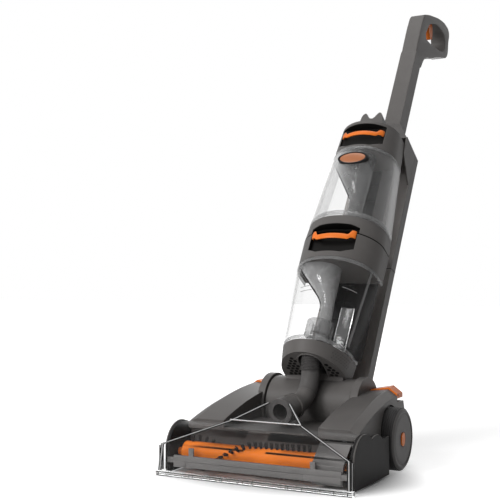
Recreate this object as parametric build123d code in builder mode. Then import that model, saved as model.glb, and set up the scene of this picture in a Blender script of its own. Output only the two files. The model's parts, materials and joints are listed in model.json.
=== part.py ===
"""Upright carpet washer: a floor nozzle with two brush bars, and a reclining column that carries
two lift-off tanks and a loop handle.

Millimetres, +Z up, front towards -Y. The origin is on the floor, at the middle of the suction lip's
sole.
The column is drawn in its own frame: origin on the recline axis, Y to the rear, Z up the column.
"""

import os
from math import cos, radians, sin, sqrt

from build123d import *

os.makedirs("parts", exist_ok=True)

# Fits and walls
gap = 0.3
running = 0.05
seat_play = 0.1
wall = 2.5
clear_wall = 2.0

# Suction lip and channel, from the lip up to the neck
lip_half = 165.0
lip_depth = 10.0
lip_height = 7.0
lip_ribs = 9
mouth_count = 6
mouth_web = 6.0
mouth_wide = 3.0
lip_rib_wide = 2.0
channel_half = 160.0
slot = 9.0
brow_half = 158.0
brow_y = 5.0
brow_z = 48.0
crease_half = 62.0
crease_slot = 14.0
crease_y = 50.0
crease_z = 80.0
neck_half = 19.0
neck_slot = 30.0
neck_y = 97.0
neck_z = 96.0

# End panels, brush bars and their chamber
panel_in = 153.0
panel_thick = 7.0
panel_front = 17.0
panel_rear = 158.0
panel_low = 3.0
panel_brow = 50.0
panel_top = 62.0
hump_z = 78.0
notch_z = 66.0
rear_hump_z = 71.5
brush_front_y = 47.0
brush_rear_y = 107.0
brush_z = 31.0
core_r = 17.0
core_bore_r = 13.0
core_left = -140.0
core_right = 88.0
cap_thick = 6.0
journal_r = 6.0
journal_depth = 4.0
tip_r = 28.0
sleeve_wall = 2.0
tufts_per_row = 24
tuft_rows = 2
strands_per_tuft = 4
strand_thick = 1.6
strand_step = 2.2
row_sweep = 150.0
chamber_roof = 66.0
divider_y = 138.0
cover_top = 78.0
cover_front = 12.0
cover_foot = 46.0
crossbar_half = 142.0
crossbar_y = 10.0
crossbar_deep = 5.0
crossbar_low = 13.0
crossbar_high = 31.0
tongue_high = 8.0

# Brush drive on the right-hand side
case_x = 91.0
case_wall = 3.0
case_front = 19.0
case_low = 8.0
case_nose = 36.0
case_top = 63.0
case_front_end = 141.0
belt_x = 101.0
timing_x = 121.0
belt_wide = 10.0
belt_thick = 2.0
brush_pulley_r = 15.0
motor_pulley_r = 7.5
flange_lip = 1.5
flange_thick = 1.5
motor_y = 168.0
motor_z = 41.0
motor_r = 25.0
motor_left = -60.0
motor_right = 70.0
motor_shaft_r = 3.0

# Chassis pan, deck and side arms
pan_z = 10.0
pan_wall = 3.0
glide_x = 70.0
glide_wide = 24.0
glide_long = 14.0
pan_front_half = 150.0
pan_rear_half = 133.0
deck_z = 68.0
deck_wall = 3.0
deck_rear = 190.0
brush_wall_thick = 2.0
brush_wall_low = 22.0
brush_wall_left = -150.0
arm_in = 82.0
arm_front_y = 64.0
arm_rear_y = 287.0
arm_front_z = 82.0
arm_rear_z = 124.0
arm_inner_drop = 6.0
crest_front_x = 133.0
crest_rear_x = 122.0
edge_front_x = 147.0
edge_rear_x = 137.0
edge_front_drop = 6.0
edge_rear_drop = 11.0
foot_front_x = 151.0
foot_rear_x = 150.0
arm_stations = 5

# Wheels
axle_y = 211.0
axle_r = 5.0
axle_in = 96.0
wheel_r = 50.0
wheel_out = 165.0
wheel_wide = 26.0
arch_gap = 3.0
hub_cap_tall = 11.0
hub_cap_wide = 8.0
hub_cap_thick = 2.0

# Foot pedals
pedal_front_y = 256.0
pedal_raise = 3.0
pedal_low = 108.0
pedal_room = 6.0
pedal_wall = 3.0
pedal_swing = 1.2
pedal_pin_r = 2.0
pedal_pin_y = 262.0
pedal_pin_z = 113.0

# Pump beside the brush motor
pump_in = 88.0
pump_wide = 40.0
pump_front_y = 148.0
pump_long = 44.0
pump_high = 36.0
pump_head_r = 15.0
pump_spigot_r = 4.0
pump_spigot_long = 9.0

# Suction hose: neck seal, cuff, rigid elbow and ribbed bellows
hose_turn = 3.9
hose_slope = 6.0
hose_run = 56.5
hose_bend_r = 52.0
hose_r = 15.5
hose_bore_r = 12.8
elbow_end = 45.0
seal_long = 10.0
seal_r = 21.0
cuff_r = 18.5
cuff_long = 34.0
flange_r = 21.5
flange_long = 6.0
hose_ribs = 10
rib_pitch = 2.6
rib_crest_r = 16.4

# Recline pivot
lean = 32.0
pivot_y = 244.0
pivot_z = 90.0
barrel_r = 48.0
barrel_half = 76.0
barrel_wall = 3.0
trunnion_r = 20.0
collar_r = 52.0
collar_in = 78.0
collar_wide = 13.0

saddle_half = 53.0
saddle_front = -38.0
saddle_rear = 66.0
fan_r = 40.0
fan_blades = 9
fan_left = -52.0
fan_wide = 16.0
fan_sweep = 40.0
wire_r = 8.0
suction_motor_r = 37.0
suction_motor_left = -30.0
suction_motor_right = 58.0
suction_shaft_r = 4.0

# Column, up from the recline axis
column_y = -39.0
tank_back = -14.0
vent_thick = 3.0
vent_front_h = 46.0
vent_rear_h = 36.5
floor_h = 65.5
duct_y = -84.0
spine_low_h = 50.0
spine_top_h = 573.0
hood_mid_h = 612.0
tube_low_h = 655.0
handle_top_h = 971.0
loop_drop = 110.0
tube_top_h = handle_top_h - loop_drop

# Column stations: height, half-width, and how far the round front stands before the middle
vent_rim = (40.0, 57.0, 67.0)
cup_rim = (69.0, 61.0, 72.0)
lower_seam = (237.0, 76.0, 68.0)
shelf_low = (293.0, 77.7, 66.2)
shelf_high = (326.0, 75.0, 64.0)
upper_seam = (493.0, 63.0, 56.0)
cap_top = (557.0, 59.0, 53.0)

# Spine, hood and handle tube
spine_low_half = 63.0
spine_top_half = 62.0
spine_front = -11.0
spine_rear = 75.0
spine_corner = 12.0
spine_nose_half = 25.0
spine_wing = 40.0
hood_mid_half = 40.0
hood_mid_front = 9.0
hood_mid_rear = 78.0
hood_mid_corner = 10.0
cheek_front_h = 535.0
cheek_rear_h = 497.0
tube_half = 17.5
tube_front = 35.0
tube_rear = 79.0
tube_corner = 7.0

# Loop handle: outline and opening, in Y and Z from the top front corner of the tube
loop_outline = (
    (-58, -93), (-7, -11), (4, 0), (20, 5), (70, 13), (122, 18), (164, 15), (186, 6), (190, -3),
    (183, -24), (175, -54), (163, -64), (146, -67), (86, -79), (52, -88), (4, -98), (-21, -116),
)
loop_opening = (
    (29, -23), (44, -12), (131, -7), (150, -19), (145, -49), (132, -55), (24, -53), (12, -50),
)
loop_half = 17.0
loop_edge = 4.0
loop_wall = 3.0
spigot_long = 35.0
limb_hollow = 120.0
trigger_outline = ((66, -2), (90, -2), (92, -18), (88, -36), (74, -38), (66, -20))
trigger_slot = ((58, 3), (98, 3), (98, -14), (58, -14))
trigger_pin = (72, -4)
trigger_half = 6.5
trigger_pin_r = 2.0
trigger_pin_half = 11.0

# Vent plate, hooks and cord gland
vent_hole_r = 2.6
vent_hole_step = 8.4
hose_slot_half = 20.0
hose_slot_apex = -101.2
duct_wall = 3.0
rest_front = -62.0
rest_profile = ((27, 560), (25, 575), (22, 590), (19, 599), (15, 602), (10, 598), (4, 589.5), (0, 588))
rest_hollow = ((-22.5, 560), (22.5, 560), (20, 577), (17, 585.5), (-17, 585.5), (-20, 577))
cord_hook_h = 330.0
cord_hook_reach = 32.0
cord_hook_half = 16.0
gland_h = 120.0
gland_r = 11.0
gland_bore_r = 4.0
gland_long = 16.0
screw_rows = 4
screw_head_r = 4.0
screw_head_long = 2.6
screw_r = 1.75
screw_long = 14.0

# Tanks and caps
cap_wall = 3.0
pocket_half = 44.0
pocket_deep = 22.0
latch_half = 43.0
latch_proud = 1.5
latch_thick = 7.0
latch_travel = 4.0
guide_x = 25.0
guide_wide = 6.0
guide_high = 6.0
guide_behind = 7.5
guide_long = 21.0
pocket_rise = 10.0
pocket_flat = 24.0
ear_in = 36.0
ear_rise = 13.0
lower_pocket = (247.0, 292.0)
lower_latch_span = (272.0, 288.0)
upper_pocket = (496.5, 550.0)
upper_latch_span = (518.0, 533.0)
shelf_notch_half = 46.0
shelf_notch = (292.0, 304.0)
shelf_arch_half = 31.0
shelf_arch_h = 308.0
seam_open = 2.5
inlet_r = 12.0
inlet_high = 12.0
separator_y = -62.0
separator_r = 40.0
separator_tube_r = 13.0
separator_cone_h = 165.0
separator_low_h = 88.0
float_stop_h = 98.0
float_r = 24.0
float_high = 26.0
funnel_y = -60.0
funnel_r = 30.0
funnel_tube_r = 9.0
funnel_cone_h = 418.0
funnel_low_h = 340.0
badge_half = 30.0
badge_half_high = 13.5
badge_thick = 2.0
badge_h = 461.0

column_up = (0, sin(radians(lean)), cos(radians(lean)))
upright = Plane((0, pivot_y, pivot_z), x_dir=(1, 0, 0), z_dir=column_up)


def save(part, name):
    """Label a finished piece and write it."""
    part.label = name
    export_step(part, f"parts/{name}.step")


def across(x):
    """A plane that faces +X at x, with sketch axes Y and Z."""
    return Plane.YZ.offset(x)


def cross_section(y):
    """A plane square to Y at y, with sketch axes X and Z."""
    return Plane.XZ.offset(-y)


def both_sides(part, name):
    """Write a right-hand piece and its mirror image."""
    save(part, f"right_{name}")
    with BuildPart() as other:
        mirror(part, about=Plane.YZ)
    save(other.part, f"left_{name}")


def paired(part, name):
    """Write a right-hand piece and its mirror image together in one node."""
    with BuildPart() as pair:
        add(part)
        mirror(part, about=Plane.YZ)
    save(pair.part, name)


# Suction lip: a clear bar with a flat sole, a row of mouths and stiffening ribs along its top
slot_y = (lip_depth - slot) / 2
with BuildPart() as suction_lip:
    with BuildSketch(across(-lip_half)):
        with Locations((0, lip_height / 2)):
            RectangleRounded(lip_depth, lip_height, lip_height / 6)
    extrude(amount=2 * lip_half)
    with Locations((0, 0, lip_height / 2)):
        with GridLocations(2 * lip_half / lip_ribs, 0, lip_ribs, 1):
            Box(lip_rib_wide, lip_depth + 2 * lip_rib_wide / 3, lip_height - lip_height / 3)
    with BuildSketch():
        with Locations((0, slot_y)):
            with GridLocations(2 * lip_half / mouth_count, 0, mouth_count, 1):
                SlotOverall(2 * lip_half / mouth_count - mouth_web, mouth_wide)
    extrude(amount=lip_height, mode=Mode.SUBTRACT)
save(suction_lip.part, "suction_lip")


# Suction channel: a flat clear duct up the front, narrowing over the top to the neck
brow_dir = Vector(0, crease_y - brow_y, crease_z - brow_z).normalized()
neck_dir = Vector(0, neck_y - crease_y, neck_z - crease_z).normalized()
brow_plane = Plane((0, brow_y, brow_z), x_dir=(1, 0, 0), z_dir=brow_dir + Vector(0, 0, 1))
crease_plane = Plane((0, crease_y, crease_z), x_dir=(1, 0, 0), z_dir=brow_dir + neck_dir)
neck_plane = Plane(
    (0, neck_y, neck_z), x_dir=(1, 0, 0), z_dir=(0, cos(radians(hose_slope)), sin(radians(hose_slope)))
)


def channel_sections(grow):
    """The duct's sections from lip to neck, grown or shrunk all round."""
    stations = (
        (Plane((0, slot_y, lip_height), x_dir=(1, 0, 0), z_dir=(0, 0, 1)), channel_half, slot),
        (brow_plane, brow_half, slot),
        (crease_plane, crease_half, crease_slot),
        (neck_plane, neck_half, neck_slot),
    )
    sections = []
    for plane, half, thick in stations:
        with BuildSketch(plane) as section:
            RectangleRounded(2 * (half + grow), thick + 2 * grow, (thick + 2 * grow) / 3)
        sections.append(section.sketch)
    return sections


with BuildPart() as suction_channel:
    loft(channel_sections(0), ruled=True)
    loft(channel_sections(-clear_wall), ruled=True, mode=Mode.SUBTRACT)
save(suction_channel.part, "suction_channel")


# Nozzle end covers: clear quarter-round hoods over the brush ends, cut round the channel
hood_rear = arm_front_y - gap


def hood_profile(inset):
    """Quarter-round hood in Y and Z, open below."""
    reach = brush_front_y - cover_front - inset
    with BuildSketch(across(neck_half)) as profile:
        with BuildLine():
            rise = cover_top - cover_foot - inset
            EllipticalCenterArc((brush_front_y, cover_foot), reach, rise, start_angle=90, arc_size=90)
            Polyline(
                (brush_front_y - reach, cover_foot),
                (hood_rear, cover_foot),
                (hood_rear, cover_top - inset),
                (brush_front_y, cover_top - inset),
            )
        make_face()
    return profile.sketch


with BuildPart() as channel_room:
    loft(channel_sections(2 * gap), ruled=True)

cover_long = panel_in - gap - neck_half
with BuildPart() as cover_blank:
    extrude(hood_profile(0), amount=cover_long)
    extrude(hood_profile(clear_wall), amount=cover_long - clear_wall, mode=Mode.SUBTRACT)
    add(channel_room.part, mode=Mode.SUBTRACT)
with BuildPart() as right_nozzle_cover:
    add(cover_blank.part.solids().sort_by(SortBy.VOLUME)[-1])
both_sides(right_nozzle_cover.part, "nozzle_cover")


# End panels: outer cheeks of the brush chamber, with a hump over each brush
notch_y = (brush_front_y + brush_rear_y) / 2 + journal_r + 2
panel_step_y = brush_rear_y + tip_r - journal_r
with BuildPart() as right_end_panel:
    with BuildSketch(across(panel_in)):
        with BuildLine():
            ThreePointArc((panel_front, panel_brow), (brush_front_y, hump_z), (notch_y, notch_z))
            ThreePointArc((notch_y, notch_z), (brush_rear_y, rear_hump_z), (panel_step_y, panel_top))
            Polyline(
                (panel_step_y, panel_top),
                (panel_rear, panel_top),
                (panel_rear, panel_low),
                (panel_front, panel_low),
                (panel_front, panel_brow),
            )
        make_face()
    extrude(amount=panel_thick)
    for y in (brush_front_y, brush_rear_y):
        with BuildSketch(across(panel_in)):
            with Locations((y, brush_z)):
                Circle(journal_r + running)
        extrude(amount=journal_depth, mode=Mode.SUBTRACT)
both_sides(right_end_panel.part, "end_panel")


# Front crossbar behind the clear front, held by a tongue at each end
with BuildPart() as front_crossbar:
    with Locations((0, crossbar_y + crossbar_deep / 2, (crossbar_low + crossbar_high) / 2)):
        Box(2 * crossbar_half, crossbar_deep, crossbar_high - crossbar_low)
    fillet(front_crossbar.edges().filter_by(Axis.X), crossbar_deep / 5)
    tongue = panel_in - crossbar_half
    for side in (-1, 1):
        tongue_x = side * (crossbar_half + tongue / 2)
        tongue_z = crossbar_high - tongue_high
        with Locations((tongue_x, crossbar_y + crossbar_deep, tongue_z)):
            Box(tongue, 2 * crossbar_deep, tongue_high)
        with Locations((side * (panel_in - tongue / 4), panel_front + 1, tongue_z)):
            Box(tongue / 2, 2 * crossbar_deep, tongue_high)
save(front_crossbar.part, "front_crossbar")


# Brush bars: a tubular core with end caps and journals, and tufts set in two sweeping rows
def brush_core(y):
    """Core tube with closed ends and journals that run in the end panels."""
    with BuildPart() as core:
        with BuildSketch(across(core_left)):
            with Locations((y, brush_z)):
                Circle(core_r)
                Circle(core_bore_r, mode=Mode.SUBTRACT)
        extrude(amount=core_right - core_left)
        for end, inward in ((core_left, 1), (core_right, -1)):
            with BuildSketch(across(end)):
                with Locations((y, brush_z)):
                    Circle(core_r)
            extrude(amount=inward * cap_thick)
        reach = panel_in + journal_depth - gap
        with BuildSketch(across(-reach)):
            with Locations((y, brush_z)):
                Circle(journal_r)
        extrude(amount=reach + core_left)
        with BuildSketch(across(core_right)):
            with Locations((y, brush_z)):
                Circle(journal_r)
        extrude(amount=reach - core_right)
    return core.part


def brush_tufts(y, phase):
    """Strands in rows that sweep round the core, standing on a slice of sleeve inside it."""
    span = core_right - core_left - 2 * cap_thick - 2 * strand_step
    places = []
    root_r = core_bore_r - sleeve_wall / 2
    for row in range(tuft_rows):
        for tuft in range(tufts_per_row):
            along = (tuft + 0.5) / tufts_per_row
            mirror_run = abs(2 * along - 1)
            angle = radians(phase + 360 * row / tuft_rows + row_sweep * mirror_run)
            x = core_left + cap_thick + strand_step + span * along
            for strand in range(strands_per_tuft):
                step = (strand - (strands_per_tuft - 1) / 2) * strand_step
                axis = Plane((x + step, y, brush_z), x_dir=(1, 0, 0), z_dir=(0, cos(angle), sin(angle)))
                places.append(axis.offset(root_r))
    with BuildPart() as tufts:
        with BuildSketch(across(core_left + cap_thick)):
            with Locations((y, brush_z)):
                Circle(core_bore_r)
                Circle(core_bore_r - sleeve_wall, mode=Mode.SUBTRACT)
        extrude(amount=core_right - core_left - 2 * cap_thick)
        with BuildSketch(*places):
            Rectangle(strand_thick, strand_thick)
        extrude(amount=tip_r - root_r)
    return tufts.part


save(brush_core(brush_front_y), "front_brush_core")
save(brush_core(brush_rear_y), "rear_brush_core")
save(brush_tufts(brush_front_y, 20), "front_bristles")
save(brush_tufts(brush_rear_y, 110), "rear_bristles")


# Drive pulleys: a flanged wheel for the motor belt, and a second one for the belt between the brushes
def pulley(plane_x, centre, radius, bore):
    """One flanged pulley, centred across its belt."""
    half = belt_wide / 2 + gap
    with BuildPart() as wheel:
        with BuildSketch(across(plane_x - half)):
            with Locations(centre):
                Circle(radius)
        extrude(amount=2 * half)
        for start in (plane_x - half - flange_thick, plane_x + half):
            with BuildSketch(across(start)):
                with Locations(centre):
                    Circle(radius + flange_lip)
            extrude(amount=flange_thick)
        with BuildSketch(across(plane_x - half - flange_thick)):
            with Locations(centre):
                Circle(bore)
        extrude(amount=2 * (half + flange_thick), mode=Mode.SUBTRACT)
    return wheel.part


def belt(plane_x, centre_a, radius_a, centre_b, radius_b):
    """A belt loop that clears both pulleys by the running gap."""
    with BuildPart() as loop:
        with BuildSketch(across(plane_x - belt_wide / 2)):
            with Locations(centre_a):
                Circle(radius_a + gap + belt_thick)
            with Locations(centre_b):
                Circle(radius_b + gap + belt_thick)
            make_hull()
            with BuildSketch(mode=Mode.SUBTRACT):
                with Locations(centre_a):
                    Circle(radius_a + gap)
                with Locations(centre_b):
                    Circle(radius_b + gap)
                make_hull()
        extrude(amount=belt_wide)
    return loop.part


front_centre = (brush_front_y, brush_z)
rear_centre = (brush_rear_y, brush_z)
motor_centre = (motor_y, motor_z)
journal_fit = journal_r + seat_play
save(pulley(timing_x, front_centre, brush_pulley_r, journal_fit), "front_timing_pulley")
with BuildPart() as rear_pulley:
    add(pulley(timing_x, rear_centre, brush_pulley_r, journal_fit))
    add(pulley(belt_x, rear_centre, brush_pulley_r, journal_fit))
    with BuildSketch(across(belt_x)):
        with Locations(rear_centre):
            Circle(journal_fit + wall)
            Circle(journal_fit, mode=Mode.SUBTRACT)
    extrude(amount=timing_x - belt_x)
save(rear_pulley.part, "rear_double_pulley")
save(belt(timing_x, front_centre, brush_pulley_r, rear_centre, brush_pulley_r), "timing_belt")
save(belt(belt_x, rear_centre, brush_pulley_r, motor_centre, motor_pulley_r), "drive_belt")

# Motor pulley with its shaft, which runs in the brush motor's nose
with BuildPart() as motor_pulley:
    add(pulley(belt_x, motor_centre, motor_pulley_r, motor_shaft_r))
    with BuildSketch(across(motor_right - wall)):
        with Locations(motor_centre):
            Circle(motor_shaft_r)
    extrude(amount=belt_x + belt_wide - motor_right)
save(motor_pulley.part, "motor_pulley")

# Brush motor: a can with a bearing nose, across the base behind the brushes
with BuildPart() as brush_motor:
    with BuildSketch(across(motor_left)):
        with Locations(motor_centre):
            Circle(motor_r)
    extrude(amount=motor_right - motor_left - 2 * wall)
    fillet(brush_motor.edges().filter_by(GeomType.CIRCLE), wall)
    with BuildSketch(across(motor_right - 3 * wall)):
        with Locations(motor_centre):
            Circle(3 * motor_shaft_r)
    extrude(amount=3 * wall)
    with BuildSketch(across(motor_right)):
        with Locations(motor_centre):
            Circle(motor_shaft_r + running)
    extrude(amount=-(motor_right - motor_left) / 2, mode=Mode.SUBTRACT)
save(brush_motor.part, "brush_motor")

# Drive case: the inner wall, front and roof round the belts
roof_end = panel_in - clear_wall - 2 * gap
with BuildPart() as drive_case:
    with BuildSketch(across(case_x)):
        with BuildLine():
            Polyline(
                (case_front, case_low),
                (divider_y, case_low),
                (divider_y, case_top),
                (crease_y, case_top),
                (case_front, case_nose),
                close=True,
            )
        make_face()
    extrude(amount=case_wall)
    with BuildSketch(cross_section(crease_y)):
        with Locations(((case_x + roof_end) / 2, case_top - case_wall / 2)):
            Rectangle(roof_end - case_x, case_wall)
    extrude(amount=-(divider_y - crease_y))
    with BuildSketch(across(case_x)):
        with BuildLine():
            Polyline(
                (case_front, case_low),
                (case_front, case_nose),
                (crease_y, case_top),
                (crease_y, case_top - case_wall),
                (case_front + case_wall, case_nose - case_wall),
                (case_front + case_wall, case_low),
                close=True,
            )
        make_face()
    extrude(amount=case_front_end - case_x)
    for centre in (front_centre, rear_centre):
        with BuildSketch(across(case_x)):
            with Locations(centre):
                Circle(journal_r + 2 * gap)
        extrude(amount=case_wall, mode=Mode.SUBTRACT)
save(drive_case.part, "drive_case")

# Chassis pan: floor plate, divider behind the brushes, saddles for the brush motor and two rear glides
saddle_x = (motor_left + motor_right) / 2
saddle_step = (motor_right - motor_left) / 2
pan_top = pan_z + pan_wall
window_low = pan_top + pan_wall
with BuildPart() as chassis:
    with BuildSketch(Plane.XY.offset(pan_z)):
        with BuildLine():
            Polyline(
                (-pan_front_half, divider_y),
                (pan_front_half, divider_y),
                (pan_front_half, panel_rear),
                (pan_rear_half, panel_rear),
                (pan_rear_half, arm_rear_y),
                (-pan_rear_half, arm_rear_y),
                (-pan_rear_half, panel_rear),
                (-pan_front_half, panel_rear),
                close=True,
            )
        make_face()
    extrude(amount=pan_wall)
    with BuildSketch(cross_section(divider_y)):
        with Locations((0, (pan_z + chamber_roof) / 2)):
            Rectangle(2 * pan_front_half, chamber_roof - pan_z)
        with Locations((belt_x, (window_low + case_top) / 2)):
            Rectangle(2 * belt_wide, case_top - window_low, mode=Mode.SUBTRACT)
    extrude(amount=-pan_wall)
    for x in (saddle_x - saddle_step / 2, saddle_x + saddle_step / 2):
        with Locations((x, motor_y, (pan_top + motor_z - motor_r / 2) / 2)):
            Box(2 * wall, 1.6 * motor_r, motor_z - motor_r / 2 - pan_top)
    with BuildSketch(across(motor_left)):
        with Locations(motor_centre):
            Circle(motor_r + seat_play)
    extrude(amount=motor_right - motor_left, mode=Mode.SUBTRACT)
    for x in (-glide_x, glide_x):
        with Locations((x, arm_rear_y - glide_long / 2, pan_top / 2)):
            Box(glide_wide, glide_long, pan_top)
save(chassis.part, "chassis")


# Side arms: hollow covers that rise from the nozzle to the rear, with a wheel arch and a pivot collar
def arm_section(y, inset, low):
    """Cross-section of the right arm at y, shrunk all round by inset."""
    run = (y - arm_front_y) / (arm_rear_y - arm_front_y)
    crest_z = arm_front_z + (arm_rear_z - arm_front_z) * (1 - (1 - run) ** 2)
    crest_x = crest_front_x + (crest_rear_x - crest_front_x) * run
    edge_x = edge_front_x + (edge_rear_x - edge_front_x) * run
    edge_z = crest_z - edge_front_drop - (edge_rear_drop - edge_front_drop) * run
    foot_x = foot_front_x + (foot_rear_x - foot_front_x) * run
    with BuildSketch(cross_section(y)) as section:
        with BuildLine():
            Polyline(
                (arm_in, low),
                (arm_in, crest_z - arm_inner_drop * run),
                (crest_x, crest_z),
                (edge_x, edge_z),
                (foot_x, low),
                close=True,
            )
        make_face()
        if inset:
            offset(amount=-inset, kind=Kind.INTERSECTION)
    return section.sketch


def arm_solid(front, rear, inset, low):
    """Loft of the arm's sections between two places along Y."""
    step = (rear - front) / (arm_stations - 1)
    return [arm_section(front + step * i, inset, low) for i in range(arm_stations)]


arch_x = wheel_out - wheel_wide - arch_gap
arch_r = wheel_r + arch_gap
pivot_centre = (pivot_y, pivot_z)
axle_centre = (axle_y, wheel_r)
arm_low_cut = divider_y + pan_wall
with BuildPart() as arm_hollow:
    loft(arm_solid(arm_front_y + wall, arm_rear_y - wall, wall, pan_top - 3 * wall))
    with BuildSketch(across(arch_x - wall)):
        with Locations(axle_centre):
            Circle(arch_r + wall)
    extrude(amount=wheel_wide + 2 * arch_gap + wall, mode=Mode.SUBTRACT)

with BuildPart() as right_arm:
    loft(arm_solid(arm_front_y, arm_rear_y, 0, pan_top))
    with BuildSketch(across(arch_x)):
        with Locations(axle_centre):
            Circle(arch_r)
    extrude(amount=wheel_wide + 2 * arch_gap, mode=Mode.SUBTRACT)
    add(arm_hollow.part, mode=Mode.SUBTRACT)
    chamber_mid = ((arm_in + lip_half) / 2, (arm_front_y + arm_low_cut) / 2, (pan_z + chamber_roof) / 2)
    with Locations(chamber_mid):
        Box(lip_half - arm_in, arm_low_cut - arm_front_y, chamber_roof - pan_z, mode=Mode.SUBTRACT)
    with BuildSketch(across(collar_in)):
        with Locations(pivot_centre):
            Circle(collar_r)
    extrude(amount=collar_wide)
    with BuildSketch(across(collar_in)):
        with Locations(pivot_centre):
            Circle(trunnion_r + running)
    extrude(amount=collar_wide, mode=Mode.SUBTRACT)
    with BuildSketch(across(axle_in)):
        with Locations(axle_centre):
            Circle(2 * axle_r)
    extrude(amount=arch_x - axle_in)
    with BuildSketch(across(axle_in)):
        with Locations(axle_centre):
            Circle(axle_r + seat_play)
    extrude(amount=arch_x - axle_in, mode=Mode.SUBTRACT)
    pocket_in = collar_in + collar_wide + gap
    pocket_z = pedal_low - pedal_room + lip_half / 2
    with Locations(((pocket_in + lip_half) / 2, (pedal_front_y + arm_rear_y) / 2, pocket_z)):
        Box(lip_half - pocket_in, arm_rear_y - pedal_front_y + 2 * pedal_swing, lip_half, mode=Mode.SUBTRACT)
    with BuildSketch(across(collar_in)):
        with Locations((pedal_pin_y, pedal_pin_z)):
            Circle(pedal_pin_r + running)
    extrude(amount=collar_wide, mode=Mode.SUBTRACT)
with BuildPart() as left_arm:
    mirror(right_arm.part, about=Plane.YZ)
save(left_arm.part, "left_arm")
with BuildPart() as bored_arm:
    add(right_arm.part)
    with BuildSketch(across(arm_in)):
        with Locations(motor_centre):
            Circle(motor_shaft_r + 3 * gap)
    extrude(amount=wall, mode=Mode.SUBTRACT)
save(bored_arm.part, "right_arm")


# Foot pedals on the rear of the arms, hinged at their front edge
def pedal_section(y, inset):
    """Cross-section of the right pedal, standing proud of the arm's top."""
    run = (y - arm_front_y) / (arm_rear_y - arm_front_y)
    crest_z = arm_front_z + (arm_rear_z - arm_front_z) * (1 - (1 - run) ** 2) + pedal_raise
    crest_x = crest_front_x + (crest_rear_x - crest_front_x) * run
    edge_x = edge_front_x + (edge_rear_x - edge_front_x) * run
    edge_z = crest_z - edge_front_drop - (edge_rear_drop - edge_front_drop) * run
    with BuildSketch(cross_section(y)) as section:
        with BuildLine():
            Polyline(
                (pocket_in + gap, pedal_low - inset),
                (pocket_in + gap, crest_z - arm_inner_drop * run),
                (crest_x, crest_z),
                (edge_x, edge_z),
                (edge_x, pedal_low - inset),
                close=True,
            )
        make_face()
        if inset:
            offset(amount=-inset, kind=Kind.INTERSECTION)
    return section.sketch


pedal_start = pedal_front_y + gap
with BuildPart() as right_pedal:
    loft([pedal_section(y, 0) for y in (pedal_start, arm_rear_y)], ruled=True)
    rear_edges = right_pedal.edges().filter_by(lambda edge: edge.center().Y > arm_rear_y - gap)
    fillet(rear_edges.sort_by(Axis.Z)[-2:], pedal_wall)
    hollow = [pedal_section(y, pedal_wall) for y in (pedal_start + pedal_wall, arm_rear_y - pedal_wall)]
    loft(hollow, ruled=True, mode=Mode.SUBTRACT)
    with BuildSketch(across(collar_in)):
        with Locations((pedal_pin_y, pedal_pin_z)):
            Circle(pedal_pin_r + running)
    extrude(amount=lip_half - collar_in, mode=Mode.SUBTRACT)
both_sides(right_pedal.part, "pedal")

pin_end = edge_rear_x - pedal_wall
with BuildPart() as right_pedal_pin:
    with BuildSketch(across(collar_in + gap)):
        with Locations((pedal_pin_y, pedal_pin_z)):
            Circle(pedal_pin_r)
    extrude(amount=pin_end - collar_in - gap)
paired(right_pedal_pin.part, "pedal_pins")


# Deck between the arms, over the rear brush, with a wall down between the two brushes
brush_wall_y = (brush_front_y + brush_rear_y) / 2
brush_wall_top = chamber_roof - gap
with BuildPart() as deck:
    with BuildSketch(Plane.XY.offset(deck_z)):
        with Locations((0, (arm_front_y + deck_rear) / 2)):
            Rectangle(2 * arm_in, deck_rear - arm_front_y)
    extrude(amount=deck_wall)
    with BuildSketch(cross_section(arm_front_y)):
        with Locations((0, (chamber_roof + deck_z) / 2)):
            Rectangle(2 * arm_in, deck_z - chamber_roof)
    extrude(amount=-2 * wall)
    with BuildSketch(cross_section(brush_wall_y - brush_wall_thick / 2)):
        with Locations(((brush_wall_left + core_right) / 2, (brush_wall_low + brush_wall_top) / 2)):
            Rectangle(core_right - brush_wall_left, brush_wall_top - brush_wall_low)
        with Locations((0, (brush_wall_low + deck_z) / 2)):
            Rectangle(2 * arm_in, deck_z - brush_wall_low)
    extrude(amount=-brush_wall_thick)
save(deck.part, "deck")


# Wheels on stub axles, each with a moulded hub cap let into its face
wheel_in = wheel_out - wheel_wide
cap_seat = hub_cap_thick
with BuildPart() as right_wheel:
    with BuildSketch(cross_section(axle_y)):
        with BuildLine():
            Polyline(
                (wheel_in, wheel_r),
                (wheel_in, 2 * wheel_r - wall),
                (wheel_in + wall, 2 * wheel_r),
                (wheel_out - 2 * wall, 2 * wheel_r),
                (wheel_out - wall / 2, 2 * wheel_r - 1.5 * wall),
                (wheel_out, 2 * wheel_r - 3 * wall),
                (wheel_out, wheel_r),
                close=True,
            )
        make_face()
    revolve(axis=Axis((0, axle_y, wheel_r), (1, 0, 0)))
    with BuildSketch(across(wheel_in)):
        with Locations(axle_centre):
            Circle(wheel_r - 4 * wall)
            Circle(2 * axle_r + wall, mode=Mode.SUBTRACT)
    extrude(amount=wheel_wide - 3 * wall, mode=Mode.SUBTRACT)
    with BuildSketch(across(wheel_in)):
        with Locations(axle_centre):
            Circle(axle_r + running)
    extrude(amount=wheel_wide - 2 * cap_seat, mode=Mode.SUBTRACT)
    with BuildSketch(across(wheel_out)):
        with Locations(axle_centre):
            Ellipse(hub_cap_wide + seat_play, hub_cap_tall + seat_play)
    extrude(amount=-cap_seat, mode=Mode.SUBTRACT)
both_sides(right_wheel.part, "wheel")

with BuildPart() as right_hub_cap:
    with BuildSketch(across(wheel_out - cap_seat)):
        with Locations(axle_centre):
            Ellipse(hub_cap_wide, hub_cap_tall)
    extrude(amount=hub_cap_thick)
both_sides(right_hub_cap.part, "hub_cap")

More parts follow.
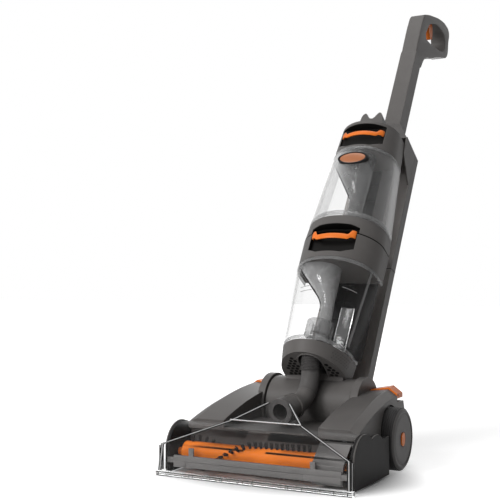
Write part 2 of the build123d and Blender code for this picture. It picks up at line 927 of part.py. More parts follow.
with BuildPart() as right_axle:
    with BuildSketch(across(axle_in)):
        with Locations(axle_centre):
            Circle(axle_r)
    extrude(amount=wheel_out - 2 * cap_seat - gap - axle_in)
paired(right_axle.part, "axles")


# Water pump on the pan, in the left arm, with two hose spigots
pump_mid = -(pump_in + pump_wide / 2)
with BuildPart() as pump:
    with Locations((pump_mid, pump_front_y + pump_long / 2, pan_top + pump_high / 2)):
        Box(pump_wide, pump_long, pump_high)
    fillet(pump.edges().filter_by(Axis.Z), 2 * wall)
    with BuildSketch(Plane.XY.offset(pan_top + pump_high)):
        with Locations((pump_mid, pump_front_y + pump_long / 2)):
            Circle(pump_head_r)
    extrude(amount=pump_spigot_r)
    with BuildSketch(Plane.XY.offset(pan_top + pump_high + pump_spigot_r)):
        with Locations((pump_mid, pump_front_y + pump_long / 2)):
            with GridLocations(2 * pump_spigot_r + pump_spigot_long / 2, 0, 2, 1):
                Circle(pump_spigot_r)
                Circle(pump_spigot_r / 2, mode=Mode.SUBTRACT)
    extrude(amount=pump_spigot_long)
save(pump.part, "pump")


# Suction hose, drawn in an upright plane that turns a little to the right
turn = radians(hose_turn)
hose = Plane((0, neck_y, neck_z), x_dir=(sin(turn), cos(turn), 0), z_dir=(cos(turn), -sin(turn), 0))
slope = radians(hose_slope)


def hose_at(run, angle=hose_slope):
    """A plane square to the hose: run along the straight, then by angle round the bend."""
    bend = radians(angle)
    x = run * cos(slope) + hose_bend_r * (sin(bend) - sin(slope))
    y = run * sin(slope) + hose_bend_r * (cos(slope) - cos(bend))
    heading = hose.from_local_coords((cos(bend), sin(bend), 0)) - hose.origin
    return Plane(hose.from_local_coords((x, y, 0)), x_dir=hose.z_dir, z_dir=heading)


def hose_ring(start, long, outer, bore):
    """A ring round the hose's straight run."""
    with BuildPart() as ring:
        with BuildSketch(hose_at(start)):
            Circle(outer)
            Circle(bore, mode=Mode.SUBTRACT)
        extrude(amount=long)
    return ring.part


seal_start = gap + seal_r * sin(turn)
save(hose_ring(seal_start, seal_long - seal_start, seal_r, hose_bore_r), "neck_seal")
with BuildPart() as hose_cuff:
    add(hose_ring(seal_long + 2 * gap, cuff_long, cuff_r, hose_r + seat_play))
    add(hose_ring(seal_long + 2 * gap, flange_long, flange_r, hose_r + seat_play))
    add(hose_ring(seal_long + cuff_long - flange_long, flange_long, flange_r, hose_r + seat_play))
save(hose_cuff.part, "hose_cuff")

elbow_start = seal_long + 2 * gap
with BuildPart() as hose_elbow:
    with BuildLine(hose) as elbow_path:
        straight = Line(
            (elbow_start * cos(slope), elbow_start * sin(slope)),
            (hose_run * cos(slope), hose_run * sin(slope)),
        )
        JernArc(straight @ 1, straight % 1, hose_bend_r, elbow_end - hose_slope)
    with BuildSketch(hose_at(elbow_start)):
        Circle(hose_r)
    sweep(path=elbow_path.line)
    with BuildSketch(hose_at(elbow_start)):
        Circle(hose_bore_r)
    sweep(path=elbow_path.line, mode=Mode.SUBTRACT)
save(hose_elbow.part, "hose_elbow")

# Bellows: the rest of the bend, then ribs straight up to the column
bend_steps = 6
bellows_top = hose_at(hose_run, 90)
bend_step = (90 - elbow_end) / bend_steps
bend_angles = [elbow_end + bend_step * (i + gap / hose_r) for i in range(bend_steps)]
stations = [(hose_at(hose_run, angle), hose_r) for angle in bend_angles]
for rib in range(hose_ribs):
    foot = rib * rib_pitch
    stations.append((bellows_top.offset(foot), hose_r - clear_wall / 2))
    stations.append((bellows_top.offset(foot + 0.3 * rib_pitch), rib_crest_r))
    stations.append((bellows_top.offset(foot + 0.6 * rib_pitch), rib_crest_r))
    stations.append((bellows_top.offset(foot + 0.9 * rib_pitch), hose_r - clear_wall / 2))


def hose_circles(places):
    """Circles on a row of planes."""
    circles = []
    for plane, radius in places:
        with BuildSketch(plane) as ring:
            Circle(radius)
        circles.append(ring.sketch)
    return circles


with BuildPart() as hose_bellows:
    loft(hose_circles(stations), ruled=True)
    bore = [(plane, hose_bore_r - clear_wall / 2) for plane, _ in stations]
    loft(hose_circles(bore), ruled=True, mode=Mode.SUBTRACT)
save(hose_bellows.part, "hose_bellows")


# Column planes: level at a height, side-on down the middle, and facing forward at a depth
side = Plane(upright.origin, x_dir=upright.y_dir, z_dir=upright.x_dir)
spine_face = tank_back + gap
vent_h = vent_rim[0]


def level(h):
    """A plane across the column at height h."""
    return upright.offset(h)


def facing(y):
    """A plane that faces forward at depth y, with sketch axes X and up the column."""
    return Plane(upright.from_local_coords((0, y, 0)), x_dir=(1, 0, 0), z_dir=-upright.y_dir)


def stem(y):
    """An axis up the column at depth y."""
    return Axis(upright.from_local_coords((0, y, 0)), upright.z_dir)


def raised(station, step):
    """The same station moved up the column."""
    h, half, deep = station
    return (h + step, half, deep)


def between(low, high, h):
    """The station at height h on the straight sides between two others."""
    share = (h - low[0]) / (high[0] - low[0])
    return (h, low[1] + share * (high[1] - low[1]), low[2] + share * (high[2] - low[2]))


def column_section(station, inset=0.0, back=tank_back):
    """Round-fronted section of the column."""
    h, half, deep = station
    right = half - inset
    with BuildSketch(level(h)) as section:
        with BuildLine():
            EllipticalCenterArc((0, column_y), right, deep - inset, start_angle=180, arc_size=180)
            rear = back - inset
            Polyline((right, column_y), (right, rear), (-right, rear), (-right, column_y))
        make_face()
    return section.sketch


def column_block(low, high, inset=0.0, back=tank_back):
    """Solid column between two stations."""
    with BuildPart() as block:
        loft([column_section(low, inset, back), column_section(high, inset, back)], ruled=True)
    return block.part


def front_box(low, high, half, rear):
    """A box that takes in everything before a depth, between two heights."""
    with BuildPart() as box:
        with BuildSketch(facing(rear)):
            with Locations((0, (low + high) / 2)):
                Rectangle(2 * half, high - low)
        extrude(amount=lip_half)
    return box.part


def spine_section(h, half, front, rear, corner, inset=0.0):
    """Section with a flat front and cut rear corners, for the spine, hood and handle tube."""
    right, back = half - inset, rear - inset
    with BuildSketch(level(h)) as section:
        with BuildLine():
            Polyline(
                (-right, front + inset),
                (right, front + inset),
                (right, back - corner),
                (right - corner, back),
                (corner - right, back),
                (-right, back - corner),
                close=True,
            )
        make_face()
    return section.sketch


def front_prism(points, rear):
    """A prism on an outline in X and height that takes in everything before a depth."""
    with BuildPart() as prism:
        with BuildSketch(facing(rear)):
            Polygon(*points, align=None)
        extrude(amount=lip_half)
    return prism.part


# Motor barrel: a hollow drum on the recline axis with trunnions, and a saddle that carries the column
trunnion_end = collar_in + collar_wide
with BuildPart() as motor_barrel:
    with BuildSketch(across(-barrel_half)):
        with Locations(pivot_centre):
            Circle(barrel_r)
    extrude(amount=2 * barrel_half)
    with BuildSketch(side.offset(-saddle_half)):
        with BuildLine():
            Polyline(
                (saddle_front, 0),
                (saddle_rear, 0),
                (saddle_rear, spine_low_h),
                (spine_face, spine_low_h),
                (spine_face, vent_h),
                (saddle_front, vent_h),
                close=True,
            )
        make_face()
    extrude(amount=2 * saddle_half)
    with BuildSketch(across(-barrel_half + barrel_wall)):
        with Locations(pivot_centre):
            Circle(barrel_r - barrel_wall)
    extrude(amount=2 * (barrel_half - barrel_wall), mode=Mode.SUBTRACT)
    for end, out in ((-barrel_half, -1), (barrel_half, 1)):
        with BuildSketch(across(end)):
            with Locations(pivot_centre):
                Circle(trunnion_r)
        extrude(amount=out * (trunnion_end - barrel_half))
    with BuildSketch(across(-trunnion_end)):
        with Locations(pivot_centre):
            Circle(wire_r)
    extrude(amount=2 * trunnion_end, mode=Mode.SUBTRACT)
save(motor_barrel.part, "motor_barrel")

# Suction motor: a can with two flanges that seat in the barrel
barrel_seat = barrel_r - barrel_wall - seat_play
with BuildPart() as suction_motor:
    with BuildSketch(across(suction_motor_left)):
        with Locations(pivot_centre):
            Circle(suction_motor_r)
    extrude(amount=suction_motor_right - suction_motor_left)
    for x in (suction_motor_left + 2 * wall, suction_motor_right - 4 * wall):
        with BuildSketch(across(x)):
            with Locations(pivot_centre):
                Circle(barrel_seat)
        extrude(amount=2 * wall)
    with BuildSketch(across(suction_motor_left)):
        with Locations(pivot_centre):
            Circle(suction_shaft_r + running)
    extrude(amount=(suction_motor_right - suction_motor_left) / 2, mode=Mode.SUBTRACT)
save(suction_motor.part, "suction_motor")

# Fan: back plate, swept blades and a shaft that runs in the suction motor
with BuildPart() as fan:
    with BuildSketch(across(fan_left)):
        with Locations(pivot_centre):
            Circle(fan_r)
    extrude(amount=clear_wall)
    with BuildSketch(across(fan_left)):
        with Locations(pivot_centre):
            Circle(3 * suction_shaft_r)
            with PolarLocations(0.6 * fan_r, fan_blades):
                Rectangle(0.6 * fan_r, clear_wall, rotation=fan_sweep)
    extrude(amount=fan_wide)
    with BuildSketch(across(fan_left)):
        with Locations(pivot_centre):
            Circle(suction_shaft_r)
    extrude(amount=suction_motor_left - fan_left + suction_motor_r)
save(fan.part, "fan")


# Platform: the cup under the lower tank, with a floor, a rear sill and a duct for the hose
hose_end = bellows_top.offset(hose_ribs * rib_pitch + gap)
duct_x = hose_end.origin.X


def duct(radius):
    """The bent duct from the hose end to the platform's floor."""
    with BuildSketch(hose_end) as entry:
        Circle(radius)
    with BuildSketch(level(floor_h + wall)) as leave:
        with Locations((duct_x, duct_y)):
            Circle(radius)
    with BuildPart() as bend:
        loft([entry.sketch, leave.sketch])
    return bend.part


# The platform's open underside slopes up towards the front
vent_run = saddle_front - (column_y - vent_rim[2])
vent_slope = (vent_front_h - vent_rear_h) / vent_run
vent_plane = Plane(
    upright.from_local_coords((0, saddle_front, vent_rear_h)),
    x_dir=(1, 0, 0),
    z_dir=upright.y_dir * vent_slope + upright.z_dir,
)
vent_foot = between(vent_rim, cup_rim, vent_rear_h - vent_run * vent_slope)

with BuildPart() as platform:
    add(column_block(vent_foot, cup_rim, 0, spine_face))
    add(column_block(vent_foot, cup_rim, wall, spine_face), mode=Mode.SUBTRACT)
    with BuildSketch(vent_plane):
        Rectangle(2 * lip_half, 2 * lip_half)
    extrude(amount=-lip_half, mode=Mode.SUBTRACT)
    extrude(column_section(between(vent_rim, cup_rim, floor_h), wall / 2, spine_face), amount=wall)
    with BuildSketch(level(vent_h)):
        with Locations((0, (saddle_front + spine_face) / 2)):
            Rectangle(2 * vent_rim[1], spine_face - saddle_front)
    extrude(amount=vent_thick)
    add(duct(hose_bore_r + duct_wall))
    add(duct(hose_bore_r), mode=Mode.SUBTRACT)
    with BuildSketch(across(-lip_half)):
        with Locations(pivot_centre):
            Circle(barrel_r + seat_play)
    extrude(amount=2 * lip_half, mode=Mode.SUBTRACT)
save(platform.part, "platform")


# Vent plate: a perforated plate under the platform, with a slot that the hose comes through
def vent_hole_places():
    """Staggered holes on both sides of the hose slot, inside the plate's edge."""
    rim = 2 * vent_hole_r + wall
    half, deep = vent_rim[1] - rim, vent_rim[2] - rim
    row_step = vent_hole_step * sqrt(3) / 2
    columns = int(half / vent_hole_step)
    places = []
    for row in range(int(deep / row_step)):
        for column in range(-columns, columns + 1):
            x = vent_hole_step * (column + row % 2 / 2)
            forward = row_step * (row + 0.6)
            inside = (x / half) ** 2 + (forward / deep) ** 2 < 1
            if inside and abs(x - duct_x) > hose_slot_half + vent_hole_r + clear_wall:
                places.append((x, column_y - saddle_front - forward))
    return places


slot_round = hose_slot_apex + hose_slot_half
with BuildPart() as vent_plate:
    add(column_block(vent_foot, cup_rim, wall + seat_play, saddle_front + wall))
    with BuildSketch(vent_plane):
        Rectangle(2 * lip_half, 2 * lip_half)
    extrude(amount=vent_thick, mode=Mode.INTERSECT)
    with BuildSketch(vent_plane):
        with Locations((duct_x, slot_round - saddle_front)):
            Circle(hose_slot_half)
        with Locations((duct_x, (slot_round - saddle_front) / 2)):
            Rectangle(2 * hose_slot_half, saddle_front - slot_round)
        with Locations(*vent_hole_places()):
            Circle(vent_hole_r)
    extrude(amount=vent_thick, mode=Mode.SUBTRACT)
save(vent_plate.part, "vent_plate")


# Spine: a flat front panel and a deep rear shell behind the tanks
with BuildPart() as spine_panel:
    with BuildSketch(facing(spine_front)):
        with BuildLine():
            Polyline(
                (-spine_nose_half, spine_low_h),
                (spine_nose_half, spine_low_h),
                (spine_nose_half, spine_top_h),
                (-spine_nose_half, spine_top_h),
                close=True,
            )
        make_face()
    extrude(amount=spine_front - spine_face)
save(spine_panel.part, "spine_panel")

# Spine cover: the rear shell, with an upturned cord hook moulded on
screw_x = spine_top_half - spine_corner - 3 * screw_head_r
screw_step = (spine_top_h - spine_low_h) / (screw_rows + 1)
screw_places = [
    (out * screw_x, spine_low_h + screw_step * (row + 1)) for out in (-1, 1) for row in range(screw_rows)
]
hook_rear = spine_rear + cord_hook_reach


def spine_blocks(front, inset):
    """Wide wings behind, and a narrow nose between them that meets the tanks, as one solid."""
    ends = ((spine_low_h, spine_low_half), (spine_top_h, spine_top_half))
    nose_rear = spine_wing + wall + inset
    nose_sections = []
    for h, _ in ends:
        with BuildSketch(level(h)) as nose:
            with Locations((0, (front + nose_rear) / 2)):
                Rectangle(2 * (spine_nose_half - inset), nose_rear - front)
        nose_sections.append(nose.sketch)
    with BuildPart() as block:
        loft(
            [spine_section(h, half, spine_wing, spine_rear, spine_corner, inset) for h, half in ends],
            ruled=True,
        )
        loft(nose_sections, ruled=True)
    return block.part


with BuildPart() as spine_cover:
    add(spine_blocks(spine_front, 0))
    with BuildSketch(side.offset(-cord_hook_half)):
        with BuildLine():
            Polyline(
                (spine_rear - wall, cord_hook_h),
                (hook_rear - 2 * wall, cord_hook_h),
                (hook_rear - 2 * wall, cord_hook_h - cord_hook_reach),
                (hook_rear, cord_hook_h - cord_hook_reach),
                (hook_rear, cord_hook_h + 2 * wall),
                (spine_rear - wall, cord_hook_h + 4 * wall),
                close=True,
            )
        make_face()
    extrude(amount=2 * cord_hook_half)
    add(spine_blocks(spine_front - 2 * wall, wall), mode=Mode.SUBTRACT)
    with BuildSketch(facing(spine_rear)):
        with Locations(*screw_places):
            Circle(screw_r + seat_play)
        with Locations((0, gland_h)):
            Circle(gland_r - wall + seat_play)
    extrude(amount=2 * wall, mode=Mode.SUBTRACT)
save(spine_cover.part, "spine_cover")

with BuildPart() as spine_screws:
    with BuildSketch(facing(spine_rear)):
        with Locations(*screw_places):
            Circle(screw_head_r)
    extrude(amount=-screw_head_long)
    with BuildSketch(facing(spine_rear)):
        with Locations(*screw_places):
            Circle(screw_r)
    extrude(amount=screw_long)
save(spine_screws.part, "spine_screws")

# Cord gland: a bush in the rear of the spine where the mains lead comes in
with BuildPart() as cord_gland:
    with BuildSketch(facing(spine_rear)):
        with Locations((0, gland_h)):
            Circle(gland_r)
    extrude(amount=-gland_long / 2, taper=15)
    with BuildSketch(facing(spine_rear)):
        with Locations((0, gland_h)):
            Circle(gland_r - wall)
    extrude(amount=gland_long / 2)
    with BuildSketch(facing(spine_rear + gland_long / 2)):
        with Locations((0, gland_h)):
            Circle(gland_bore_r)
    extrude(amount=gland_long, mode=Mode.SUBTRACT)
save(cord_gland.part, "cord_gland")


# Hood: the shoulder that gathers the spine into the handle tube, with a cheek down each side
def shoulder_sections(inset):
    """Three sections from the spine's top to the foot of the tube."""
    return [
        spine_section(spine_top_h, spine_top_half, spine_face, spine_rear, spine_corner, inset),
        spine_section(hood_mid_h, hood_mid_half, hood_mid_front, hood_mid_rear, hood_mid_corner, inset),
        spine_section(tube_low_h, tube_half, tube_front, tube_rear, tube_corner, inset),
    ]


with BuildPart() as hood:
    loft(shoulder_sections(0))
    loft(shoulder_sections(wall), mode=Mode.SUBTRACT)
    extrude(shoulder_sections(0)[0], amount=wall)
    for x in (-spine_top_half, spine_top_half - wall):
        with BuildSketch(side.offset(x)):
            with BuildLine():
                Polyline(
                    (spine_face, cheek_front_h),
                    (spine_face, spine_top_h + wall / 2),
                    (spine_wing - gap, spine_top_h + wall / 2),
                    (spine_wing - gap, cheek_rear_h),
                    close=True,
                )
            make_face()
        extrude(amount=wall)
save(hood.part, "hood")


# Tool rest: a hollow twin-lobed hump on the spine, above the upper tank
rest_long = spine_face - rest_front
rest_mirror = [(-x, h) for x, h in reversed(rest_profile)]
with BuildPart() as tool_rest:
    with BuildSketch(facing(spine_face)):
        with BuildLine():
            Spline(*rest_profile, tangents=((0, 1), (-1, 0)))
            Spline(*rest_mirror, tangents=((-1, 0), (0, -1)))
            Line(rest_mirror[-1], rest_profile[0])
        make_face()
    extrude(amount=rest_long)
    with BuildSketch(facing(spine_face - wall)):
        Polygon(*rest_hollow, align=None)
    extrude(amount=rest_long - 2 * wall, mode=Mode.SUBTRACT)
save(tool_rest.part, "tool_rest")

# Handle tube
with BuildPart() as handle_tube:
    tube_long = tube_top_h - tube_low_h
    extrude(spine_section(tube_low_h, tube_half, tube_front, tube_rear, tube_corner), amount=tube_long)
    extrude(
        spine_section(tube_low_h, tube_half, tube_front, tube_rear, tube_corner, wall),
        amount=tube_long,
        mode=Mode.SUBTRACT,
    )
save(handle_tube.part, "handle_tube")

# Loop handle with a spigot down the tube and a slot for the trigger
loop_plane = Plane(
    upright.from_local_coords((0, tube_front, handle_top_h)), x_dir=(0, 1, 0), z_dir=(1, 0, 0)
)
spigot_h = tube_top_h - spigot_long + 2 * wall
with BuildSketch() as opening_rim:
    Polygon(*loop_opening, align=None)
    offset(amount=loop_wall, kind=Kind.INTERSECTION)
with BuildPart() as handle_loop:
    with BuildSketch(loop_plane.offset(-loop_half)):
        Polygon(*loop_outline, align=None)
        Polygon(*loop_opening, align=None, mode=Mode.SUBTRACT)
    extrude(amount=2 * loop_half)
    long_edges = handle_loop.edges().filter_by(Axis.X, reverse=True)
    chamfer(long_edges, loop_edge)
    extrude(
        spine_section(spigot_h, tube_half, tube_front, tube_rear, tube_corner, wall + seat_play),
        amount=spigot_long,
    )
    extrude(
        spine_section(spigot_h, tube_half, tube_front, tube_rear, tube_corner, 2 * wall + seat_play),
        amount=limb_hollow,
        mode=Mode.SUBTRACT,
    )
    with BuildSketch(loop_plane.offset(wall - loop_half)):
        Polygon(*loop_outline, align=None)
        offset(amount=-loop_wall, kind=Kind.INTERSECTION)
        add(opening_rim.sketch, mode=Mode.SUBTRACT)
    extrude(amount=2 * (loop_half - wall), mode=Mode.SUBTRACT)
    with BuildSketch(loop_plane.offset(-trigger_half - gap)):
        Polygon(*trigger_slot, align=None)
    extrude(amount=2 * (trigger_half + gap), mode=Mode.SUBTRACT)
    with BuildSketch(loop_plane.offset(-trigger_pin_half - gap)):
        with Locations(trigger_pin):
            Circle(trigger_pin_r + running)
    extrude(amount=2 * (trigger_pin_half + gap), mode=Mode.SUBTRACT)
save(handle_loop.part, "handle_loop")

with BuildPart() as trigger:
    with BuildSketch(loop_plane.offset(-trigger_half)):
        Polygon(*trigger_outline, align=None)
    extrude(amount=2 * trigger_half)
    fillet(trigger.edges().filter_by(Axis.X), wall)
    with BuildSketch(loop_plane.offset(-trigger_pin_half)):
        with Locations(trigger_pin):
            Circle(trigger_pin_r)
    extrude(amount=2 * trigger_pin_half)
save(trigger.part, "trigger")

# Shelf between the tanks, notched for the ears of the lower latch
shelf_front = column_y - shelf_low[2]
notch_rear = shelf_front + pocket_deep
notch_outline = (
    (-shelf_notch_half, shelf_notch[0]),
    (shelf_notch_half, shelf_notch[0]),
    (shelf_notch_half, shelf_notch[1]),
    (shelf_arch_half, shelf_arch_h),
    (-shelf_arch_half, shelf_arch_h),
    (-shelf_notch_half, shelf_notch[1]),
)
with BuildPart() as shelf_hollow:
    add(
        column_block(
            between(shelf_low, shelf_high, shelf_low[0] + wall),
            between(shelf_low, shelf_high, shelf_high[0] - wall),
            4 * wall,
            spine_face + 5 * wall,
        )
    )
    add(front_box(*shelf_notch, lip_half, notch_rear + wall), mode=Mode.SUBTRACT)
    add(front_box(shelf_notch[1], shelf_high[0], lip_half, notch_rear + wall), mode=Mode.SUBTRACT)
with BuildPart() as mid_shelf:
    add(column_block(shelf_low, shelf_high, 0, spine_face))
    add(shelf_hollow.part, mode=Mode.SUBTRACT)
    add(front_prism(notch_outline, notch_rear), mode=Mode.SUBTRACT)
save(mid_shelf.part, "mid_shelf")


def bowl(low, high):
    """Clear tank with a floor, open at the top."""
    with BuildPart() as shell:
        add(column_block(low, high))
        add(column_block(between(low, high, low[0] + wall), high, clear_wall), mode=Mode.SUBTRACT)
    return shell.part


def pocket_back(low):
    """Depth of a latch pocket's rear wall."""
    return column_y - low[2] + pocket_deep


def cap(low, high, pocket, latch_span, hole_y):
    """Tank cap: a plate with a hole below, and a latch pocket in front with guide slots."""
    plate_h, roof_h = low[0] + cap_wall, high[0] - cap_wall
    pocket_rear = pocket_back(low)
    slot_h = sum(latch_span) / 2 - latch_travel / 2
    liner_span = (pocket[0] - clear_wall, pocket[1] + clear_wall)
    pocket_outline = (
        (-pocket_flat, pocket[0]),
        (pocket_flat, pocket[0]),
        (pocket_half, pocket[0] + pocket_rise),
        (pocket_half, pocket[1]),
        (-pocket_half, pocket[1]),
        (-pocket_half, pocket[0] + pocket_rise),
    )
    with BuildPart() as liner:
        add(column_block(low, high))
        add(
            front_box(*liner_span, pocket_half + clear_wall, pocket_rear + clear_wall),
            mode=Mode.INTERSECT,
        )
    with BuildPart() as shell:
        add(column_block(low, high))
        add(
            column_block(between(low, high, plate_h), between(low, high, roof_h), cap_wall),
            mode=Mode.SUBTRACT,
        )
        add(liner.part)
        add(front_prism(pocket_outline, pocket_rear), mode=Mode.SUBTRACT)
        with BuildSketch(facing(pocket_rear + 2 * clear_wall)):
            with Locations((-guide_x, slot_h), (guide_x, slot_h)):
                Rectangle(guide_wide + 2 * running, guide_high + latch_travel + 2 * gap)
        extrude(amount=2 * clear_wall, mode=Mode.SUBTRACT)
        with BuildSketch(level(low[0])):
            with Locations((0, hole_y)):
                Circle(inlet_r)
        extrude(amount=cap_wall, mode=Mode.SUBTRACT)
    return shell.part


def latch(low, high, span):
    """Curved latch bar with an ear at each end, a little proud of the cap, with two guides behind."""
    ear_h = span[1] + ear_rise
    ear_foot = 2 * ear_in - latch_half
    outline = (
        (-pocket_flat, span[0]),
        (pocket_flat, span[0]),
        (latch_half, span[0] + pocket_rise),
        (latch_half, ear_h),
        (ear_in, ear_h),
        (ear_foot, span[1]),
        (-ear_foot, span[1]),
        (-ear_in, ear_h),
        (-latch_half, ear_h),
        (-latch_half, span[0] + pocket_rise),
    )
    bottom, top = between(low, high, span[0]), between(low, high, ear_h)
    with BuildPart() as bar:
        add(column_block(bottom, top, -latch_proud))
        add(column_block(bottom, top, latch_thick - latch_proud), mode=Mode.SUBTRACT)
        add(front_prism(outline, pocket_back(low) - gap), mode=Mode.INTERSECT)
        with BuildSketch(facing(pocket_back(low) + guide_behind)):
            with Locations((-guide_x, sum(span) / 2), (guide_x, sum(span) / 2)):
                Rectangle(guide_wide, guide_high)
        extrude(amount=guide_long)
    return bar.part


def funnel(y, rim, tube, low_h, cone_h, top_h):
    """Thin cone with a rim above and a tube below, turned about an axis up the column."""
    with BuildPart() as cone:
        with BuildSketch(side):
            with BuildLine():
                Polyline(
                    (y + tube, low_h),
                    (y + tube, cone_h),
                    (y + rim - 2 * clear_wall, top_h - clear_wall),
                    (y + rim, top_h - clear_wall),
                    (y + rim, top_h),
                    (y + rim - 3 * clear_wall, top_h),
                    (y + tube - clear_wall, cone_h),
                    (y + tube - clear_wall, low_h),
                    close=True,
                )
            make_face()
        revolve(axis=stem(y))
    return cone.part


# Lower tank, for dirty water, with its cap, latch, separator and float
lower_foot = raised(cup_rim, gap)
lower_roof = raised(shelf_low, -seam_open)
with BuildPart() as lower_tank:
    add(bowl(lower_foot, lower_seam))
    with BuildSketch(level(lower_foot[0])):
        with Locations((duct_x, duct_y)):
            Circle(inlet_r + clear_wall)
    extrude(amount=inlet_high)
    with BuildSketch(level(lower_foot[0])):
        with Locations((duct_x, duct_y)):
            Circle(inlet_r)
    extrude(amount=inlet_high, mode=Mode.SUBTRACT)
save(lower_tank.part, "lower_tank")
save(cap(lower_seam, lower_roof, lower_pocket, lower_latch_span, separator_y), "lower_cap")
save(latch(lower_seam, lower_roof, lower_latch_span), "lower_latch")

with BuildPart() as separator:
    add(
        funnel(
            separator_y, separator_r, separator_tube_r, separator_low_h, separator_cone_h, lower_seam[0]
        )
    )
    with BuildSketch(level(float_stop_h)):
        with Locations((0, separator_y)):
            Circle(separator_tube_r + 2 * wall)
            Circle(separator_tube_r - clear_wall / 2, mode=Mode.SUBTRACT)
    extrude(amount=-clear_wall)
save(separator.part, "separator")

with BuildPart() as tank_float:
    with BuildSketch(level(float_stop_h + gap)):
        with Locations((0, separator_y)):
            Circle(float_r)
            Circle(separator_tube_r + 2 * gap, mode=Mode.SUBTRACT)
    extrude(amount=float_high)
save(tank_float.part, "tank_float")

# Upper tank, for clean water, with its cap, latch, funnel and plain badge
upper_foot = raised(shelf_high, gap)
save(bowl(upper_foot, upper_seam), "upper_tank")
save(cap(upper_seam, cap_top, upper_pocket, upper_latch_span, funnel_y), "upper_cap")
save(latch(upper_seam, cap_top, upper_latch_span), "upper_latch")
save(funnel(funnel_y, funnel_r, funnel_tube_r, funnel_low_h, funnel_cone_h, upper_seam[0]), "funnel")

badge_low, badge_high = badge_h - 2 * badge_half_high, badge_h + 2 * badge_half_high
badge_span = [between(upper_foot, upper_seam, h) for h in (badge_low, badge_high)]
badge_face = column_y - between(upper_foot, upper_seam, badge_h)[2] - badge_thick
with BuildPart() as badge:
    with BuildSketch(facing(badge_face)):
        with Locations((0, badge_h)):
            Ellipse(badge_half, badge_half_high)
    extrude(amount=-pocket_deep)
    add(column_block(*badge_span), mode=Mode.SUBTRACT)
save(badge.part, "badge")
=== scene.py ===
"""Upright carpet washer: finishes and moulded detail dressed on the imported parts."""

import json
import math

import bmesh
import bpy
from mathutils import Matrix, Vector


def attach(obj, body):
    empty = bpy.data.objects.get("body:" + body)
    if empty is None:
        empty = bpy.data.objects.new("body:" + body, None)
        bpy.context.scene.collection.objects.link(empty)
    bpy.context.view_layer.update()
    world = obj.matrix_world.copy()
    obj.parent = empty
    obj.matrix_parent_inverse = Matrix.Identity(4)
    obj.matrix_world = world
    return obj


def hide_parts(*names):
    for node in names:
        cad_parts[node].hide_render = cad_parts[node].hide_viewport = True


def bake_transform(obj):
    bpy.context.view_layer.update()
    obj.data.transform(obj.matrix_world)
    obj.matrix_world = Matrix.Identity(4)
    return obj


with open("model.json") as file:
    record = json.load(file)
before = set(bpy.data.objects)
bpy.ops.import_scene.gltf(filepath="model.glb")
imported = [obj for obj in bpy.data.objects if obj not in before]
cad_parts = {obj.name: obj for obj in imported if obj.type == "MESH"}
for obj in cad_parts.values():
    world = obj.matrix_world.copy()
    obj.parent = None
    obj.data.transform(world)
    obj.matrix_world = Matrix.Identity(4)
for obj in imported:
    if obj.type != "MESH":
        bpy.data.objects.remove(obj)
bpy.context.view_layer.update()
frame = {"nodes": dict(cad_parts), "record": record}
nodes = frame["nodes"]


class Signal:
    """A shader socket that takes part in arithmetic by adding Math nodes."""

    def __init__(self, tree, socket):
        self.tree = tree
        self.socket = socket

    def node(self, kind, settings=None, inputs=None, output=0):
        """Add a node with its settings, then its socket values or links, and return one output."""
        made = self.tree.nodes.new("ShaderNode" + kind)
        for key, value in (settings or {}).items():
            if key == "stops":
                ramp = made.color_ramp.elements
                while len(ramp) < len(value):
                    ramp.new(0.5)
                for stop, (place, tone) in zip(ramp, value):
                    stop.position = place
                    stop.color = (*tone, 1)
            else:
                setattr(made, key, value)
        for key, value in (inputs or {}).items():
            if isinstance(value, Signal):
                self.tree.links.new(value.socket, made.inputs[key])
            else:
                made.inputs[key].default_value = value
        return Signal(self.tree, made.outputs[output])

    def math(self, operation, first, second):
        return self.node("Math", {"operation": operation}, {0: first, 1: second})

    def measure(self, operation, first, second=(0, 0, 0)):
        """One number from one or two vectors, such as their dot product."""
        return self.node("VectorMath", {"operation": operation}, {0: first, 1: second}, output="Value")

    def __add__(self, other):
        return self.math("ADD", self, other)

    def __sub__(self, other):
        return self.math("SUBTRACT", self, other)

    def __mul__(self, other):
        return self.math("MULTIPLY", self, other)

    def __radd__(self, other):
        return self.math("ADD", other, self)

    def __rsub__(self, other):
        return self.math("SUBTRACT", other, self)

    def step(self, low, high):
        """0 below low, 1 above high, smooth between."""
        return self.node(
            "MapRange",
            {"interpolation_type": "SMOOTHSTEP"},
            {"Value": self, "From Min": low, "From Max": high},
        )


def new_finish(name):
    """An empty material: its surface output and its Object coordinates."""
    material = bpy.data.materials.new(name)
    material.use_nodes = True
    tree = material.node_tree
    tree.nodes.clear()
    surface = tree.nodes.new("ShaderNodeOutputMaterial").inputs["Surface"]
    place = Signal(tree, tree.nodes.new("ShaderNodeTexCoord").outputs["Object"])
    return material, surface, place


def noise(place, scale, detail=2.0, roughness=0.5):
    return place.node(
        "TexNoise", None, {"Vector": place, "Scale": scale, "Detail": detail, "Roughness": roughness}
    )


def shade(place, mask, low, high):
    """A colour that runs from low to high with a mask."""
    low = low if isinstance(low, Signal) else (*low, 1)
    high = high if isinstance(high, Signal) else (*high, 1)
    return place.node("Mix", {"data_type": "RGBA"}, {"Factor": mask, "A": low, "B": high}, output=2)


def scaled(colour, share):
    return tuple(min(1.0, channel * share) for channel in colour)


pit_scale = 1500.0
column_front = (0, -0.848, 0.53)


